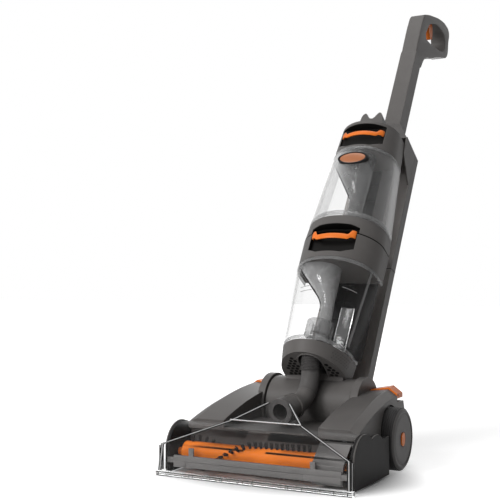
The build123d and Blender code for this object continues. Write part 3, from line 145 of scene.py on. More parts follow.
def moulded(name, colour, rough=0.42, grain=0.25, edge=0.0012, vary=0.08, specular=0.12, front=0.0):
    """Moulded plastic: eroded grain and flow marks, painted highlights along rounded edges, painted shade
    where the surface turns away from view, and painted light on faces toward the column's front, by front.
    """
    material, surface, place = new_finish(name)
    flow = noise(place, 9.0, 3.0)
    handled = noise(place, 38.0, 4.0, 0.6)
    pits = noise(place, pit_scale, 2.0)
    mask = (flow * 0.6 + handled * 0.4).step(0.3, 0.7)
    soft = place.node("Bevel", {"samples": 4}, {"Radius": edge})
    flat = place.node("NewGeometry", output="Normal")
    # Painted highlight: rounded edges made paler and glossier, patchy with the handled noise
    bevel_highlight = (1 - place.measure("DOT_PRODUCT", soft, flat)).step(0.01, 0.12) * (0.35 + handled * 0.6)
    # Painted shade: colour darkened towards the silhouette, where the surface turns away from view
    away = place.node("LayerWeight", None, {"Blend": 0.5}, output="Facing").step(0.45, 1.0) * 0.75
    body_colour = shade(place, mask, scaled(colour, 1 - vary), scaled(colour, 1 + vary))
    body_colour = shade(place, away, body_colour, scaled(colour, 0.3))
    # Painted light: with front set, faces toward the column's front are made paler
    if front:
        ahead = place.measure("DOT_PRODUCT", flat, column_front).step(0.5, 0.9)
        body_colour = shade(place, ahead * front, body_colour, scaled(colour, 4.0))
    bump = place.node(
        "Bump", None, {"Strength": grain, "Distance": 0.00012, "Height": pits, "Normal": soft}
    )
    body = place.node(
        "BsdfPrincipled",
        None,
        {
            "Base Color": shade(place, bevel_highlight, body_colour, scaled(colour, 1.5)),
            "Roughness": rough - 0.05 + handled * 0.1 - bevel_highlight * 0.06,
            "Specular IOR Level": specular,
            "Normal": bump,
        },
    )
    place.tree.links.new(body.socket, surface)
    return material


def clear_plastic(name, tint, tone, haze, gain, power):
    """Thin clear moulding: see-through face on, glossy where it turns away. Tint and tone are greys."""
    material, surface, place = new_finish(name)
    ripple = noise(place, 22.0, 2.0)
    smear = noise(place, 60.0, 4.0, 0.6).step(0.45, 0.8)
    turned = place.node("LayerWeight", None, {"Blend": 0.5}, output="Facing")
    bump = place.node("Bump", None, {"Strength": 0.12, "Distance": 0.001, "Height": ripple})
    gloss = place.node(
        "BsdfPrincipled",
        None,
        {
            "Base Color": shade(place, smear, (tone * 0.9,) * 3, (tone,) * 3),
            "Roughness": 0.05 + smear * 0.05,
            "Specular IOR Level": 0.7,
            "Normal": bump,
        },
    )
    through = place.node("BsdfTransparent", None, {"Color": (tint, tint, tint, 1)})
    facing = haze + turned.math("POWER", turned, power) * gain + smear * (haze * 0.4)
    mixed = place.node("MixShader", None, {0: facing, 1: through, 2: gloss})
    place.tree.links.new(mixed.socket, surface)
    return material


def solid_clear(name, tint, size=70.0, wave=0.1):
    """Thick clear moulding that bends what is seen through it."""
    material, surface, place = new_finish(name)
    flow = noise(place, size, 3.0)
    bump = place.node("Bump", None, {"Strength": wave, "Distance": 0.0006, "Height": flow})
    body = place.node(
        "BsdfPrincipled",
        None,
        {
            "Base Color": shade(place, flow, scaled(tint, 0.97), tint),
            "Roughness": 0.02 + flow * 0.03,
            "Transmission Weight": 1.0,
            "IOR": 1.45,
            "Normal": bump,
        },
    )
    place.tree.links.new(body.socket, surface)
    return material


def metal(name, colour, rough, brushed):
    """Turned or drawn metal with fine tool marks."""
    material, surface, place = new_finish(name)
    marks = noise(place, brushed, 3.0, 0.7)
    film = noise(place, 30.0, 3.0)
    bump = place.node("Bump", None, {"Strength": 0.15, "Distance": 0.00005, "Height": marks})
    body = place.node(
        "BsdfPrincipled",
        None,
        {
            "Base Color": shade(place, film, scaled(colour, 0.9), colour),
            "Metallic": 1.0,
            "Roughness": rough + marks * 0.12,
            "Normal": bump,
        },
    )
    place.tree.links.new(body.socket, surface)
    return material


# One finish for each slot, then those of single pieces
finishes = {
    "clear": clear_plastic("clear_plastic", tint=0.995, tone=0.6, haze=0.002, gain=0.3, power=4.0),
    "smoke": clear_plastic("smoked_plastic", tint=0.8, tone=0.2, haze=0.5, gain=0.4, power=3.0),
    "charcoal": moulded("charcoal_plastic", (0.12, 0.113, 0.109)),
    "dark": moulded("dark_plastic", (0.024, 0.023, 0.023), rough=0.5, specular=0.05),
    "grey": moulded("grey_plastic", (0.2, 0.192, 0.188), rough=0.4),
    "hose": moulded("hose_rubber", (0.105, 0.1, 0.098), rough=0.45, grain=0.35),
    "orange": moulded("orange_plastic", (0.88, 0.205, 0.03), rough=0.36, grain=0.12, vary=0.05),
    "bristle": moulded("bristle_nylon", (0.035, 0.033, 0.033), rough=0.4, grain=0.1, edge=0.0002),
    "belt": moulded("belt_rubber", (0.018, 0.018, 0.018), rough=0.7, grain=0.4),
    "wheel": moulded("wheel_plastic", (0.095, 0.09, 0.088), rough=0.45),
    "pulley": moulded("pulley_plastic", (0.2, 0.2, 0.2), rough=0.45),
    "motor": moulded("motor_paint", (0.12, 0.12, 0.125), rough=0.4, grain=0.1),
    "motor_light": metal("motor_casting", (0.55, 0.55, 0.56), 0.4, 900.0),
    "steel": metal("pin_steel", (0.6, 0.6, 0.61), 0.3, 1600.0),
}
thick_clear = solid_clear("thick_clear_plastic", (0.97, 0.975, 0.975))
channel_clear = clear_plastic("channel_plastic", tint=0.995, tone=0.85, haze=0.006, gain=0.0, power=5.0)
rippled_clear = solid_clear("rippled_clear_plastic", (0.9, 0.9, 0.9), 110.0, 1.0)
# Tank plastics: the upper tank's pale, strong grazing layer is a painted reflection down its sides, the lower
# tank's a thin painted bright line at its edges
upper_clear = clear_plastic("upper_tank_plastic", tint=0.99, tone=0.95, haze=0.012, gain=1.0, power=2.4)
lower_clear = clear_plastic("lower_tank_plastic", tint=0.99, tone=0.8, haze=0.008, gain=0.7, power=7.0)
rim_clear = clear_plastic("clear_rim_plastic", tint=0.85, tone=0.45, haze=0.22, gain=0.5, power=3.0)
# Finish of the dull dark streaks, a painted reflection on the tank walls
dark_reflection_clear = clear_plastic("dark_reflection_plastic", tint=0.97, tone=0.5, haze=0.06, gain=0.1, power=3.0)
separator_smoke = clear_plastic("separator_plastic", tint=0.92, tone=0.5, haze=0.45, gain=0.45, power=3.0)
# Finishes of beads that paint shade lines and highlight lines along the clear plastic's edges
painted_edge_shade = moulded("painted_edge_shade_plastic", (0.03, 0.03, 0.03), rough=0.3, grain=0.05, specular=0.05)
painted_edge_highlight = moulded("painted_edge_highlight_plastic", (0.6, 0.6, 0.6), rough=0.15, grain=0.05, specular=0.4)
# Black for sheets, discs and beads that paint the shade in pockets, holes, a seam and along funnel edges
painted_shade_black = moulded("painted_shade_black", (0.008, 0.0075, 0.007), rough=0.55, grain=0.2, specular=0.1)
copper_badge = moulded("copper_badge", (0.42, 0.15, 0.06), rough=0.25, grain=0.05, specular=0.35)
# Brush cores: a brighter copy of the orange, as painted light against the shade of the clear covers over them
core_orange = moulded("core_plastic", (1.0, 0.235, 0.02), rough=0.4, grain=0.1, vary=0.05, specular=0.05)
tread_rubber = moulded("tread_rubber", (0.03, 0.029, 0.029), rough=0.6, grain=0.4)
mark_ink = moulded("mark_ink", (0.4, 0.4, 0.4), rough=0.5, grain=0.05, edge=0.0002)
# Nodes whose finish isn't that of their slot
special = {
    "suction_lip": thick_clear,
    "suction_channel": channel_clear,
    "vent_plate": finishes["charcoal"],
    "badge": finishes["dark"],
    "upper_tank": upper_clear,
    "lower_tank": lower_clear,
    "tank_float": rim_clear,
    # Spine: painted light on its faces toward the column's front
    "spine_cover": moulded("spine_plastic", (0.1, 0.094, 0.091), front=0.8),
    "hose_elbow": finishes["charcoal"],
    "hose_cuff": finishes["charcoal"],
    "front_brush_core": core_orange,
    "rear_brush_core": core_orange,
}

for subpart in frame["record"]["subparts"]:
    mesh = nodes[subpart["node"]].data
    mesh.materials.clear()
    mesh.materials.append(special.get(subpart["node"]) or finishes[subpart["material_slot"]])


# Pieces are drawn in millimetres. The column's own frame starts at the recline axis: Y to the rear, Z up it
to_metres = Matrix.Scale(0.001, 4)
hands = ((1, "right"), (-1, "left"))
pivot_y, pivot_z = 244, 90
lean = math.radians(32.0)
column = Matrix.Translation((0, pivot_y, pivot_z)) @ Matrix.Rotation(-lean, 4, "X")
column_y = -39.0
tank_back = -14.0
spine_face = -13.7

# Stations up the column: height, half-width, and depth of the round front
vent_rim = (40.0, 57.0, 67.0)
cup_rim = (69.0, 61.0, 72.0)
lower_seam = (237.0, 76.0, 68.0)
shelf_low = (293.0, 77.7, 66.2)
shelf_high = (326.0, 75.0, 64.0)
upper_seam = (493.0, 63.0, 56.0)
cap_top = (557.0, 59.0, 53.0)


def hang(name, mesh, body, slot, finish=None, stands_for=()):
    """Turn a finished mesh into a piece on a body."""
    mesh.materials.clear()
    mesh.materials.append(finish or finishes[slot])
    made = bpy.data.objects.new(name, mesh)
    bpy.context.scene.collection.objects.link(made)
    if stands_for:
        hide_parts(*stands_for)
    if body:
        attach(made, body)
    return made


def piece(name, form, body, slot, place=None, finish=None, stands_for=(), crease=38.0):
    """Turn a bmesh into a piece, with its faces smooth up to a crease angle."""
    bmesh.ops.transform(form, matrix=to_metres @ (place or Matrix()), verts=form.verts)
    for face in form.faces:
        face.smooth = True
    mesh = bpy.data.meshes.new(name)
    form.to_mesh(mesh)
    form.free()
    mesh.set_sharp_from_angle(angle=math.radians(crease))
    return hang(name, mesh, body, slot, finish, stands_for)


def lathe(profile, steps=64):
    """Turn a profile of radius and height about Z."""
    form = bmesh.new()
    chain = [form.verts.new((radius, 0, height)) for radius, height in profile]
    edges = [form.edges.new(pair) for pair in zip(chain, chain[1:])]
    bmesh.ops.spin(
        form, geom=chain + edges, cent=(0, 0, 0), axis=(0, 0, 1), angle=math.tau, steps=steps, use_merge=True
    )
    bmesh.ops.remove_doubles(form, verts=form.verts, dist=0.0005)
    bmesh.ops.recalc_face_normals(form, faces=form.faces)
    return form


def grown(made, kind):
    """What an operator made, of one kind."""
    return [item for item in made["geom"] if isinstance(item, kind)]


def sleeve(stations, sides=40):
    """Sweep a circle through stations, each a matrix that places and sizes it."""
    form = bmesh.new()
    ring = bmesh.ops.create_circle(form, segments=sides, radius=1.0, matrix=stations[0])
    edges = list({edge for vert in ring["verts"] for edge in vert.link_edges})
    for before, after in zip(stations, stations[1:]):
        made = bmesh.ops.extrude_edge_only(form, edges=edges)
        verts = grown(made, bmesh.types.BMVert)
        edges = [edge for edge in grown(made, bmesh.types.BMEdge) if not edge.link_faces[1:]]
        bmesh.ops.transform(form, matrix=after @ before.inverted(), verts=verts)
    bmesh.ops.recalc_face_normals(form, faces=form.faces)
    return form


def block(form, size, centre, soften=0.0):
    """Add a box of that size, with its edges rounded."""
    place = Matrix.Translation(centre) @ Matrix.Diagonal((*size, 1))
    made = bmesh.ops.create_cube(form, size=1.0, matrix=place)["verts"]
    if soften:
        edges = list({edge for vert in made for edge in vert.link_edges})
        bmesh.ops.bevel(
            form, geom=edges, offset=soften, affect="EDGES", segments=3, profile=0.5, material=-1
        )


def bead(name, points, radius, body, slot, place=None, finish=None, curved=True):
    """A round moulded bead along points."""
    path = bpy.data.curves.new(name, "CURVE")
    path.dimensions = "3D"
    path.bevel_depth = radius
    path.bevel_resolution = 3
    path.use_fill_caps = True
    path.resolution_u = 6
    line = path.splines.new("BEZIER")
    line.bezier_points.add(len(points) - 1)
    handle = "AUTO" if curved else "VECTOR"
    for knot, point in zip(line.bezier_points, points):
        knot.co = point
        knot.handle_left_type = knot.handle_right_type = handle
    drawn = bpy.data.objects.new(name, path)
    mesh = bpy.data.meshes.new_from_object(drawn)
    bpy.data.objects.remove(drawn)
    bpy.data.curves.remove(path)
    mesh.name = name
    mesh.transform(to_metres @ (place or Matrix()))
    mesh.shade_smooth()
    return hang(name, mesh, body, slot, finish)


def between(low, high, height):
    """The station at a height between two others."""
    run = (height - low[0]) / (high[0] - low[0])
    return tuple(a + (b - a) * run for a, b in zip(low, high))


def front_point(station, angle, proud=0.0):
    """A point on the column's round front, in its own frame, from degrees off the middle."""
    turn = math.radians(angle)
    height, half, deep = station
    return ((half + proud) * math.sin(turn), column_y - (deep + proud) * math.cos(turn), height)


def front_arc(station, first, last, proud=0.0, count=9):
    """Points along the round front between two angles."""
    step = (last - first) / (count - 1)
    return [front_point(station, first + step * i, proud) for i in range(count)]


def band(stations, proud, thick):
    """A band round a tank's front and sides through stations, standing proud by a list of amounts."""
    form = bmesh.new()
    bmesh.ops.create_circle(form, segments=96, radius=1.0)
    bmesh.ops.bisect_plane(
        form,
        geom=form.verts[:] + form.edges[:],
        plane_co=(0, 0, 0),
        plane_no=(0, 1, 0),
        clear_outer=True,
        dist=0.0001,
    )
    ends = [vert for vert in form.verts if abs(vert.co.y) < 0.001]
    for vert in bmesh.ops.extrude_vert_indiv(form, verts=ends)["verts"]:
        vert.co.y = 1.0
    loop, edges = form.verts[:], form.edges[:]
    shapes = []
    for station, out in zip(stations, proud):
        if shapes:
            made = bmesh.ops.extrude_edge_only(form, edges=edges)
            loop = grown(made, bmesh.types.BMVert)
            edges = [edge for edge in grown(made, bmesh.types.BMEdge) if set(edge.verts) <= set(loop)]
        shapes.append((station, out, loop))
    reach = tank_back - column_y
    for (height, half, deep), out, loop in shapes:
        for vert in loop:
            depth = (deep + out) if vert.co.y < 0 else reach
            vert.co = ((half + out) * vert.co.x, column_y + depth * vert.co.y, height)
    bmesh.ops.recalc_face_normals(form, faces=form.faces)
    bmesh.ops.solidify(form, geom=form.faces[:], thickness=thick)
    return form


# Floor, backdrop light, lamps and camera
def seen_white(tree):
    """1 for rays from the camera, straight, mirrored or through clear plastic, else 0."""
    rays = tree.nodes.new("ShaderNodeLightPath").outputs
    seen = Signal(tree, rays["Is Camera Ray"]) + Signal(tree, rays["Is Glossy Ray"])
    return seen + Signal(tree, rays["Is Transmission Ray"])


def floor_finish():
    """Pale floor that the camera sees as white, with its glow cut back under and near the floor head as a
    painted shade round it.
    """
    material, surface, place = new_finish("pale_floor")
    dust = noise(place, 40.0, 3.0)
    card = place.node(
        "BsdfPrincipled",
        None,
        {
            "Base Color": shade(place, dust, (0.78, 0.78, 0.78), (0.8, 0.8, 0.8)),
            "Roughness": 0.9,
            "Specular IOR Level": 0.1,
        },
    )
    under = place.node(
        "Mapping",
        {"vector_type": "TEXTURE"},
        {"Vector": place, "Location": (0, 0.1, 0), "Scale": (0.18, 0.12, 1)},
    )
    # Painted shade: no glow under and near the floor head, rising to full glow farther out
    clear_of = place.measure("LENGTH", under).step(0.8, 1.5)
    away = place.measure("LENGTH", place).step(0.9, 2.4)
    white = seen_white(place.tree) * (clear_of * 0.6 + away * 0.4)
    glow = place.node("Emission", None, {"Color": (1, 1, 1, 1), "Strength": white})
    both = place.node("AddShader", None, {0: card, 1: glow})
    place.tree.links.new(both.socket, surface)
    return material


sheet = bmesh.new()
bmesh.ops.create_grid(sheet, x_segments=2, y_segments=2, size=9.0)
floor_mesh = bpy.data.meshes.new("floor")
sheet.to_mesh(floor_mesh)
sheet.free()
floor_mesh.materials.append(floor_finish())
floor = bpy.data.objects.new("floor", floor_mesh)
bpy.context.scene.collection.objects.link(floor)

world = bpy.data.worlds.new("studio")
world.use_nodes = True
bpy.context.scene.world = world
sky = world.node_tree
sky.nodes.clear()
seen = seen_white(sky)
ambient = 0.12
backdrop = seen.node(
    "Background",
    None,
    {"Color": (1, 1, 1, 1), "Strength": seen * (1 - ambient) + ambient},
)
sky.links.new(backdrop.socket, sky.nodes.new("ShaderNodeOutputWorld").inputs["Surface"])

# Lamps: name, place, aim, size in metres and power in watts
lamps = (
    ("key_lamp", (-1.2, -1.7, 1.9), (0.0, 0.3, 0.35), 1.1, 42.0),
    ("front_lamp", (-0.1, -2.4, 0.8), (0.0, 0.3, 0.2), 1.0, 15.0),
    ("top_lamp", (-0.2, 0.5, 2.6), (0.0, 0.3, 0.2), 1.4, 18.0),
    ("rear_lamp", (-0.7, 2.5, 1.4), (0.0, 0.4, 0.4), 1.2, 12.0),
)
for name, place, aim, size, power in lamps:
    light = bpy.data.lights.new(name, "AREA")
    light.size = size
    light.energy = power
    lamp = bpy.data.objects.new(name, light)
    lamp.location = place
    lamp.rotation_euler = (Vector(aim) - Vector(place)).to_track_quat("-Z", "Y").to_euler()
    bpy.context.scene.collection.objects.link(lamp)

lens = bpy.data.cameras.new("camera")
lens.lens = 68.95
lens.sensor_width = 36.0
camera = bpy.data.objects.new("camera", lens)
camera.location = (0.6786, -1.2609, 0.3071)
camera.rotation_euler = (math.radians(91.7), 0, math.radians(28.3))
bpy.context.scene.collection.objects.link(camera)
bpy.context.scene.camera = camera
bpy.context.scene.view_settings.view_transform = "Standard"


# Ribbed suction hose, which bends between the base and the column
hose_start = Vector((0, 97, 96))
hose_turn, hose_slope = math.radians(3.9), math.radians(6.0)
hose_run, bend_r, bend_first, bend_last, bend_steps = 56.5, 52.0, 45.3, 90.0, 12
hose_r, groove_r = 15.5, 13.8
rib_count, rib_pitch = 10, 2.6
rib_shape = ((0.1, groove_r), (0.3, 16.0), (0.5, 16.5), (0.7, 16.0), (0.9, groove_r))


def hose_ring(radius, angle, lift=0.0):
    """A ring square to the hose, at an angle round its bend and then straight on by lift."""
    bend = math.radians(angle)
    ahead = hose_run * math.cos(hose_slope) + bend_r * (math.sin(bend) - math.sin(hose_slope))
    above = hose_run * math.sin(hose_slope) + bend_r * (math.cos(hose_slope) - math.cos(bend))
    along = Vector((math.sin(hose_turn), math.cos(hose_turn), 0))
    side = Vector((math.cos(hose_turn), -math.sin(hose_turn), 0))
    tangent = along * math.cos(bend) + Vector((0, 0, 1)) * math.sin(bend)
    centre = hose_start + along * ahead + Vector((0, 0, above)) + tangent * lift
    axes = Matrix((side, tangent.cross(side), tangent)).transposed().to_4x4()
    return Matrix.Translation(centre) @ axes @ Matrix.Scale(radius, 4)


bend_step = (bend_last - bend_first) / bend_steps
hose_stations = [hose_ring(hose_r, bend_first + bend_step * i) for i in range(bend_steps + 1)]
for rib in range(rib_count):
    hose_stations += [hose_ring(radius, bend_last, rib_pitch * (rib + share)) for share, radius in rib_shape]
hose_stations.append(hose_ring(groove_r, bend_last, rib_pitch * rib_count))
hose_form = sleeve(hose_stations)
bmesh.ops.solidify(hose_form, geom=hose_form.faces[:], thickness=2.0)
hose = piece("ribbed_hose", hose_form, None, "hose", stands_for=("hose_bellows",), crease=70.0)
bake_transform(hose)


# Brush tufts: strands that fan a little, in two rows that sweep round each core
core_left, core_right = -132.0, 80.0
brush_z = 31.0
row_places = ((0.0, -120.0), (0.28, -10.0), (0.54, 72.0), (1.0, 92.0))


def row_angle(along):
    """Degrees above the front at which a row crosses the core, along its length."""
    for (start, first), (end, last) in zip(row_places, row_places[1:]):
        if along <= end:
            return first + (last - first) * (along - start) / (end - start)
    return row_places[-1][1]


def brush_tufts(name, y, phase, body, node):
    """Two rows of tufts, each of seven strands, on the core at y."""
    form = bmesh.new()
    tufts, root, long = 24, 16.6, 10.8
    fan = ((0, 0), (1, 0), (-1, 0), (0.5, 0.87), (-0.5, 0.87), (0.5, -0.87), (-0.5, -0.87))
    for row in (0, 200):
        for tuft in range(tufts):
            along = (tuft + 0.5) / tufts
            turn = math.radians(phase + row + row_angle(along))
            out = Vector((0, -math.cos(turn), math.sin(turn)))
            round_core = Vector((0, math.sin(turn), math.cos(turn)))
            foot = Vector((core_left + (core_right - core_left) * along, y, brush_z)) + out * root
            for count, (across, around) in enumerate(fan):
                spread = Vector((across, 0, 0)) + round_core * around
                splay = 0.9 + 0.25 * math.sin(7.0 * tuft + 3.0 * count)
                lean_out = (out * long + spread * splay).normalized()
                reach = long * (0.96 + 0.04 * math.sin(5.0 * tuft + 2.0 * count))
                turned = lean_out.to_track_quat("Z", "X").to_matrix().to_4x4()
                middle = foot + spread * 1.4 + lean_out * (reach / 2)
                bmesh.ops.create_cone(
                    form,
                    cap_ends=True,
                    segments=5,
                    radius1=0.9,
                    radius2=0.75,
                    depth=reach,
                    matrix=Matrix.Translation(middle) @ turned,
                )
    return piece(name, form, body, "bristle", stands_for=(node,))


brush_tufts("front_brush_tufts", 47.0, 0.0, "front_brush", "front_bristles")
brush_tufts("rear_brush_tufts", 107.0, 60.0, "rear_brush", "rear_bristles")


# Wheels: hollow behind, with a grooved tread, a rim bead and a dished face
wheel_profile = (
    (0, 22), (5.05, 22), (5.05, 0), (12.5, 0), (12.5, 18.5), (40, 18.5), (40, 0), (46.8, 0), (48.2, 0.5),
    (48.4, 23.2), (47.2, 24.6), (45.4, 25.6), (43.6, 26), (42.2, 25.6), (41.6, 24.7), (41.0, 24.5),
    (39.5, 24.7), (37.5, 25.3), (34, 25.5), (20, 24.9), (15, 24.8), (13.6, 25.0), (12.6, 24.8), (12.1, 23.9),
    (0, 23.9),
)
tread_profile = [(48.25, 0.6), (49.2, 0.8), (50, 2.2)]
for groove in range(5):
    start = 4.6 + 3.6 * groove
    tread_profile += [(50, start), (49.3, start + 0.3), (49.3, start + 0.9), (50, start + 1.2)]
tread_profile += [(50, 21.6), (49.4, 22.8), (48.45, 23.2), (48.25, 0.6)]
wheel_x, wheel_y, wheel_z = 139.0, 211, 50
for hand, word in hands:
    face_out = Matrix.Rotation(math.radians(90 * hand), 4, "Y")
    seat = Matrix.Translation((hand * wheel_x, wheel_y, wheel_z)) @ face_out
    body = f"{word}_wheel_body"
    piece(f"{word}_wheel_disc", lathe(wheel_profile, 72), body, "wheel", seat, stands_for=(f"{word}_wheel",))
    piece(f"{word}_tread", lathe(tread_profile, 72), body, "wheel", seat, tread_rubber)


# Loop handle, drawn in Y and Z from the top front corner of the tube, which its square ends run down into
front_end, rear_end = (-62.5, -100.8), (-26, -124.1)
loop_outer = (
    front_end, (-7, -11), (4, 0), (20, 5), (70, 13), (122, 17.8), (164, 15), (186, 6), (190, -3),
    (183, -24), (175, -54), (163, -64), (146, -67), (86, -79), (52, -88), (4, -98), rear_end,
)
loop_inner = (
    (29, -23), (44, -12), (131, -7), (150, -19), (145, -49), (132, -55), (24, -53), (12, -50),
)
loop_half, loop_round = 17.3, 2.5
tube_corner_y, tube_corner_z = 788.22, 894.91
outline = bpy.data.curves.new("handle_outline", "CURVE")
outline.dimensions = "2D"
outline.fill_mode = "BOTH"
outline.extrude = loop_half - loop_round
outline.bevel_depth = loop_round
outline.bevel_resolution = 4
outline.offset = -loop_round
outline.resolution_u = 5
for points in (loop_outer, loop_inner):
    line = outline.splines.new("BEZIER")
    line.bezier_points.add(len(points) - 1)
    line.use_cyclic_u = True
    for knot, point in zip(line.bezier_points, points):
        knot.co = (*point, 0)
        handle = "VECTOR" if point in (front_end, rear_end) else "AUTO"
        knot.handle_left_type = knot.handle_right_type = handle
drawn = bpy.data.objects.new("handle_outline", outline)
loop_mesh = bpy.data.meshes.new_from_object(drawn)
bpy.data.objects.remove(drawn)
loop_frame = Matrix(((0, 0, 1, 0), (1, 0, 0, tube_corner_y), (0, 1, 0, tube_corner_z), (0, 0, 0, 1)))
loop_form = bmesh.new()
loop_form.from_mesh(loop_mesh)
bmesh.ops.remove_doubles(loop_form, verts=loop_form.verts, dist=0.01)
bmesh.ops.recalc_face_normals(loop_form, faces=loop_form.faces)
piece("loop_grip", loop_form, "upright", "charcoal", loop_frame, stands_for=("handle_loop",), crease=50.0)


# Badge: a plain copper oval in a dark rim
badge_h, badge_half, badge_high = 461.0, 30.0, 13.5
badge_face = column_y - between(shelf_high, upper_seam, badge_h)[2] - 2.0
badge_place = (
    column
    @ Matrix.Translation((0, badge_face, badge_h))
    @ Matrix.Rotation(math.radians(90), 4, "X")
)
badge_rim = ((0.85, 0), (0.85, 0.75), (0.88, 1.1), (0.93, 1.2), (0.98, 0.9), (1.0, 0), (0.85, 0))
badge_field = ((0, 0), (0.85, 0), (0.84, 0.3), (0.7, 0.75), (0.4, 1.05), (0, 1.15))
for name, profile, slot, finish in (
    ("badge_rim", badge_rim, "dark", None),
    ("badge_field", badge_field, "orange", copper_badge),
):
    form = lathe(profile, 72)
    bmesh.ops.scale(form, vec=(badge_half, badge_high, 1), verts=form.verts)
    piece(name, form, "upper_tank_body", slot, badge_place, finish)


# Funnels inside the tanks: thin smoked bells, flared to the left, that run down into a tube
def bell(name, edges, deep, y, body, node, finish):
    """A funnel through heights with a left and right edge, with a black bead down the flare as a painted
    shade line along its edge.
    """
    stations = []
    for height, left, right in edges:
        half = (right - left) / 2
        size = Matrix.Diagonal((half, min(half, deep), 1, 1))
        stations.append(column @ Matrix.Translation(((left + right) / 2, y, height)) @ size)
    form = sleeve(stations, 64)
    bmesh.ops.solidify(form, geom=form.faces[:], thickness=1.4)
    tube_left = -5.5
    dark_edge_line = [(left - 0.8, y, height) for height, left, _ in edges if left < tube_left]
    bead(f"{name}_edge", dark_edge_line, 1.6, body, "smoke", column, painted_shade_black)
    return piece(name, form, body, "smoke", None, finish, stands_for=(node,), crease=60.0)


bell(
    "upper_funnel",
    (
        (492.6, -57, 27), (484, -56, 27), (474, -51, 26.5), (455, -40, 26.5), (430, -25, 26),
        (408, -12, 25.5), (398, -6.5, 25), (385, -4.2, 25), (342, -3, 24.5),
    ),
    25.0, -57.0, "upper_tank_body", "funnel", finishes["smoke"],
)
bell(
    "lower_separator",
    (
        (236.6, -64, 14), (230, -60, 14), (218, -50, 14), (204, -38, 14), (190, -26, 14.5), (175, -14, 15),
        (165, -9, 15.5), (150, -6, 16.5), (110, -4, 19), (88, -3.5, 20),
    ),
    26.0, -62.0, "lower_tank_body", "separator", separator_smoke,
)


# Latches: thin curved bars with raised ears, in pockets of the caps, their shade painted by black sheets
def curved_bar(name, low, high, span, ear_top, body, node):
    """A bar that follows the round front, its ends turned up into ears."""
    half, proud, thick = 43.0, 1.4, 3.0
    form = bmesh.new()
    bmesh.ops.create_grid(form, x_segments=56, y_segments=6, size=1.0)
    middle, rise = sum(span) / 2, (span[1] - span[0]) / 2
    for vert in form.verts:
        across, up = vert.co.x, vert.co.y
        ear = min(1.0, max(0.0, (abs(across) - 0.68) / 0.16))
        ear = ear * ear * (3 - 2 * ear)
        top = middle + rise + (ear_top - span[1]) * ear
        bottom = middle - rise + 5.0 * ear
        height = bottom + (top - bottom) * (up + 1) / 2
        station = between(low, high, height)
        angle = math.degrees(math.asin(across * half / station[1]))
        crown = proud - 1.1 * up * up - 1.6 * max(0.0, abs(across) - 0.94) / 0.06
        vert.co = front_point(station, angle, crown)
    bmesh.ops.recalc_face_normals(form, faces=form.faces)
    bmesh.ops.solidify(form, geom=form.faces[:], thickness=thick)
    return piece(name, form, body, "orange", column, stands_for=(node,), crease=50.0)


def pocket_shade_sheet(name, low, high, span, half, rear, body, rise=0.0, peak=0.0):
    """A thin black sheet that paints the shade in a pocket: floor, back and roof as one folded sheet, closed
    at each end.
    """
    form = bmesh.new()
    count = 24
    bmesh.ops.create_grid(form, x_segments=count, y_segments=3, size=1.0)
    for vert in form.verts:
        across, row = vert.co.x * half, round((vert.co.y + 1) * 1.5)
        bottom = span[0] + rise * max(0.0, abs(across) - 24) / (half - 24)
        top = span[1] + peak * min(1.0, (half - abs(across)) / 15)
        height = bottom if row < 2 else top
        station = between(low, high, height)
        front = front_point(station, math.degrees(math.asin(across / station[1])), -0.8)[1]
        vert.co = (across, rear if row in (1, 2) else front, height)
    for hand in (-1, 1):
        ends = [edge for edge in form.edges if all(vert.co.x * hand > half - 0.01 for vert in edge.verts)]
        bmesh.ops.contextual_create(form, geom=ends)
    bmesh.ops.recalc_face_normals(form, faces=form.faces)
    bmesh.ops.solidify(form, geom=form.faces[:], thickness=0.3)
    return piece(name, form, body, "dark", column, painted_shade_black)


curved_bar(
    "lower_latch_bar", lower_seam, shelf_low, (275.0, 285.5), 295.0, "lower_latch_body", "lower_latch"
)
curved_bar(
    "upper_latch_bar", upper_seam, cap_top, (521.0, 530.5), 538.5, "upper_latch_body", "upper_latch"
)
pocket_shade_sheet("lower_pocket_shade", lower_seam, shelf_low, (247.5, 291.6), 43.5, -85.4, "lower_tank_body", 10.0)
pocket_shade_sheet("shelf_notch_shade", shelf_low, shelf_high, (293.4, 303.5), 45.5, -83.6, "upright", 0.0, 4.0)
pocket_shade_sheet("upper_pocket_shade", upper_seam, cap_top, (497.0, 549.5), 43.5, -73.4, "upper_tank_body", 10.0)


# Clear rims round the top and foot of each tank
for name, low, high, heights, proud, thick in (
    ("upper_tank_foot_rim", shelf_high, upper_seam, (327, 328, 336, 337.5), 0.9, 1.6),
    ("upper_tank_top_rim", shelf_high, upper_seam, (486.5, 487.5, 491.5, 492.5), 0.7, 1.4),
    ("lower_tank_top_rim", cup_rim, lower_seam, (229.5, 230.5, 235.5, 236.5), 0.9, 1.6),
    ("lower_tank_foot_rim", cup_rim, lower_seam, (70, 71, 76, 77), 0.7, 1.4),
):
    stations = [between(low, high, height) for height in heights]
    body = "lower_tank_body" if low is cup_rim else "upper_tank_body"
    piece(name, band(stations, (0, proud, proud, 0), thick), body, "clear", column, rim_clear)


# Painted reflections down the tank walls: a bright streak and dull dark ones
def reflection_strip(name, low, high, span, first, last, body, finish):
    """A thin strip of wall between two angles and two heights, its finish a painted reflection."""
    form = bmesh.new()
    bmesh.ops.create_grid(form, x_segments=4, y_segments=1, size=1.0)
    for vert in form.verts:
        station = between(low, high, span[0] + (span[1] - span[0]) * (vert.co.y + 1) / 2)
        vert.co = front_point(station, first + (last - first) * (vert.co.x + 1) / 2, 0.05)
    bmesh.ops.recalc_face_normals(form, faces=form.faces)
    bmesh.ops.solidify(form, geom=form.faces[:], thickness=0.15)
    return piece(name, form, body, "clear", column, finish)


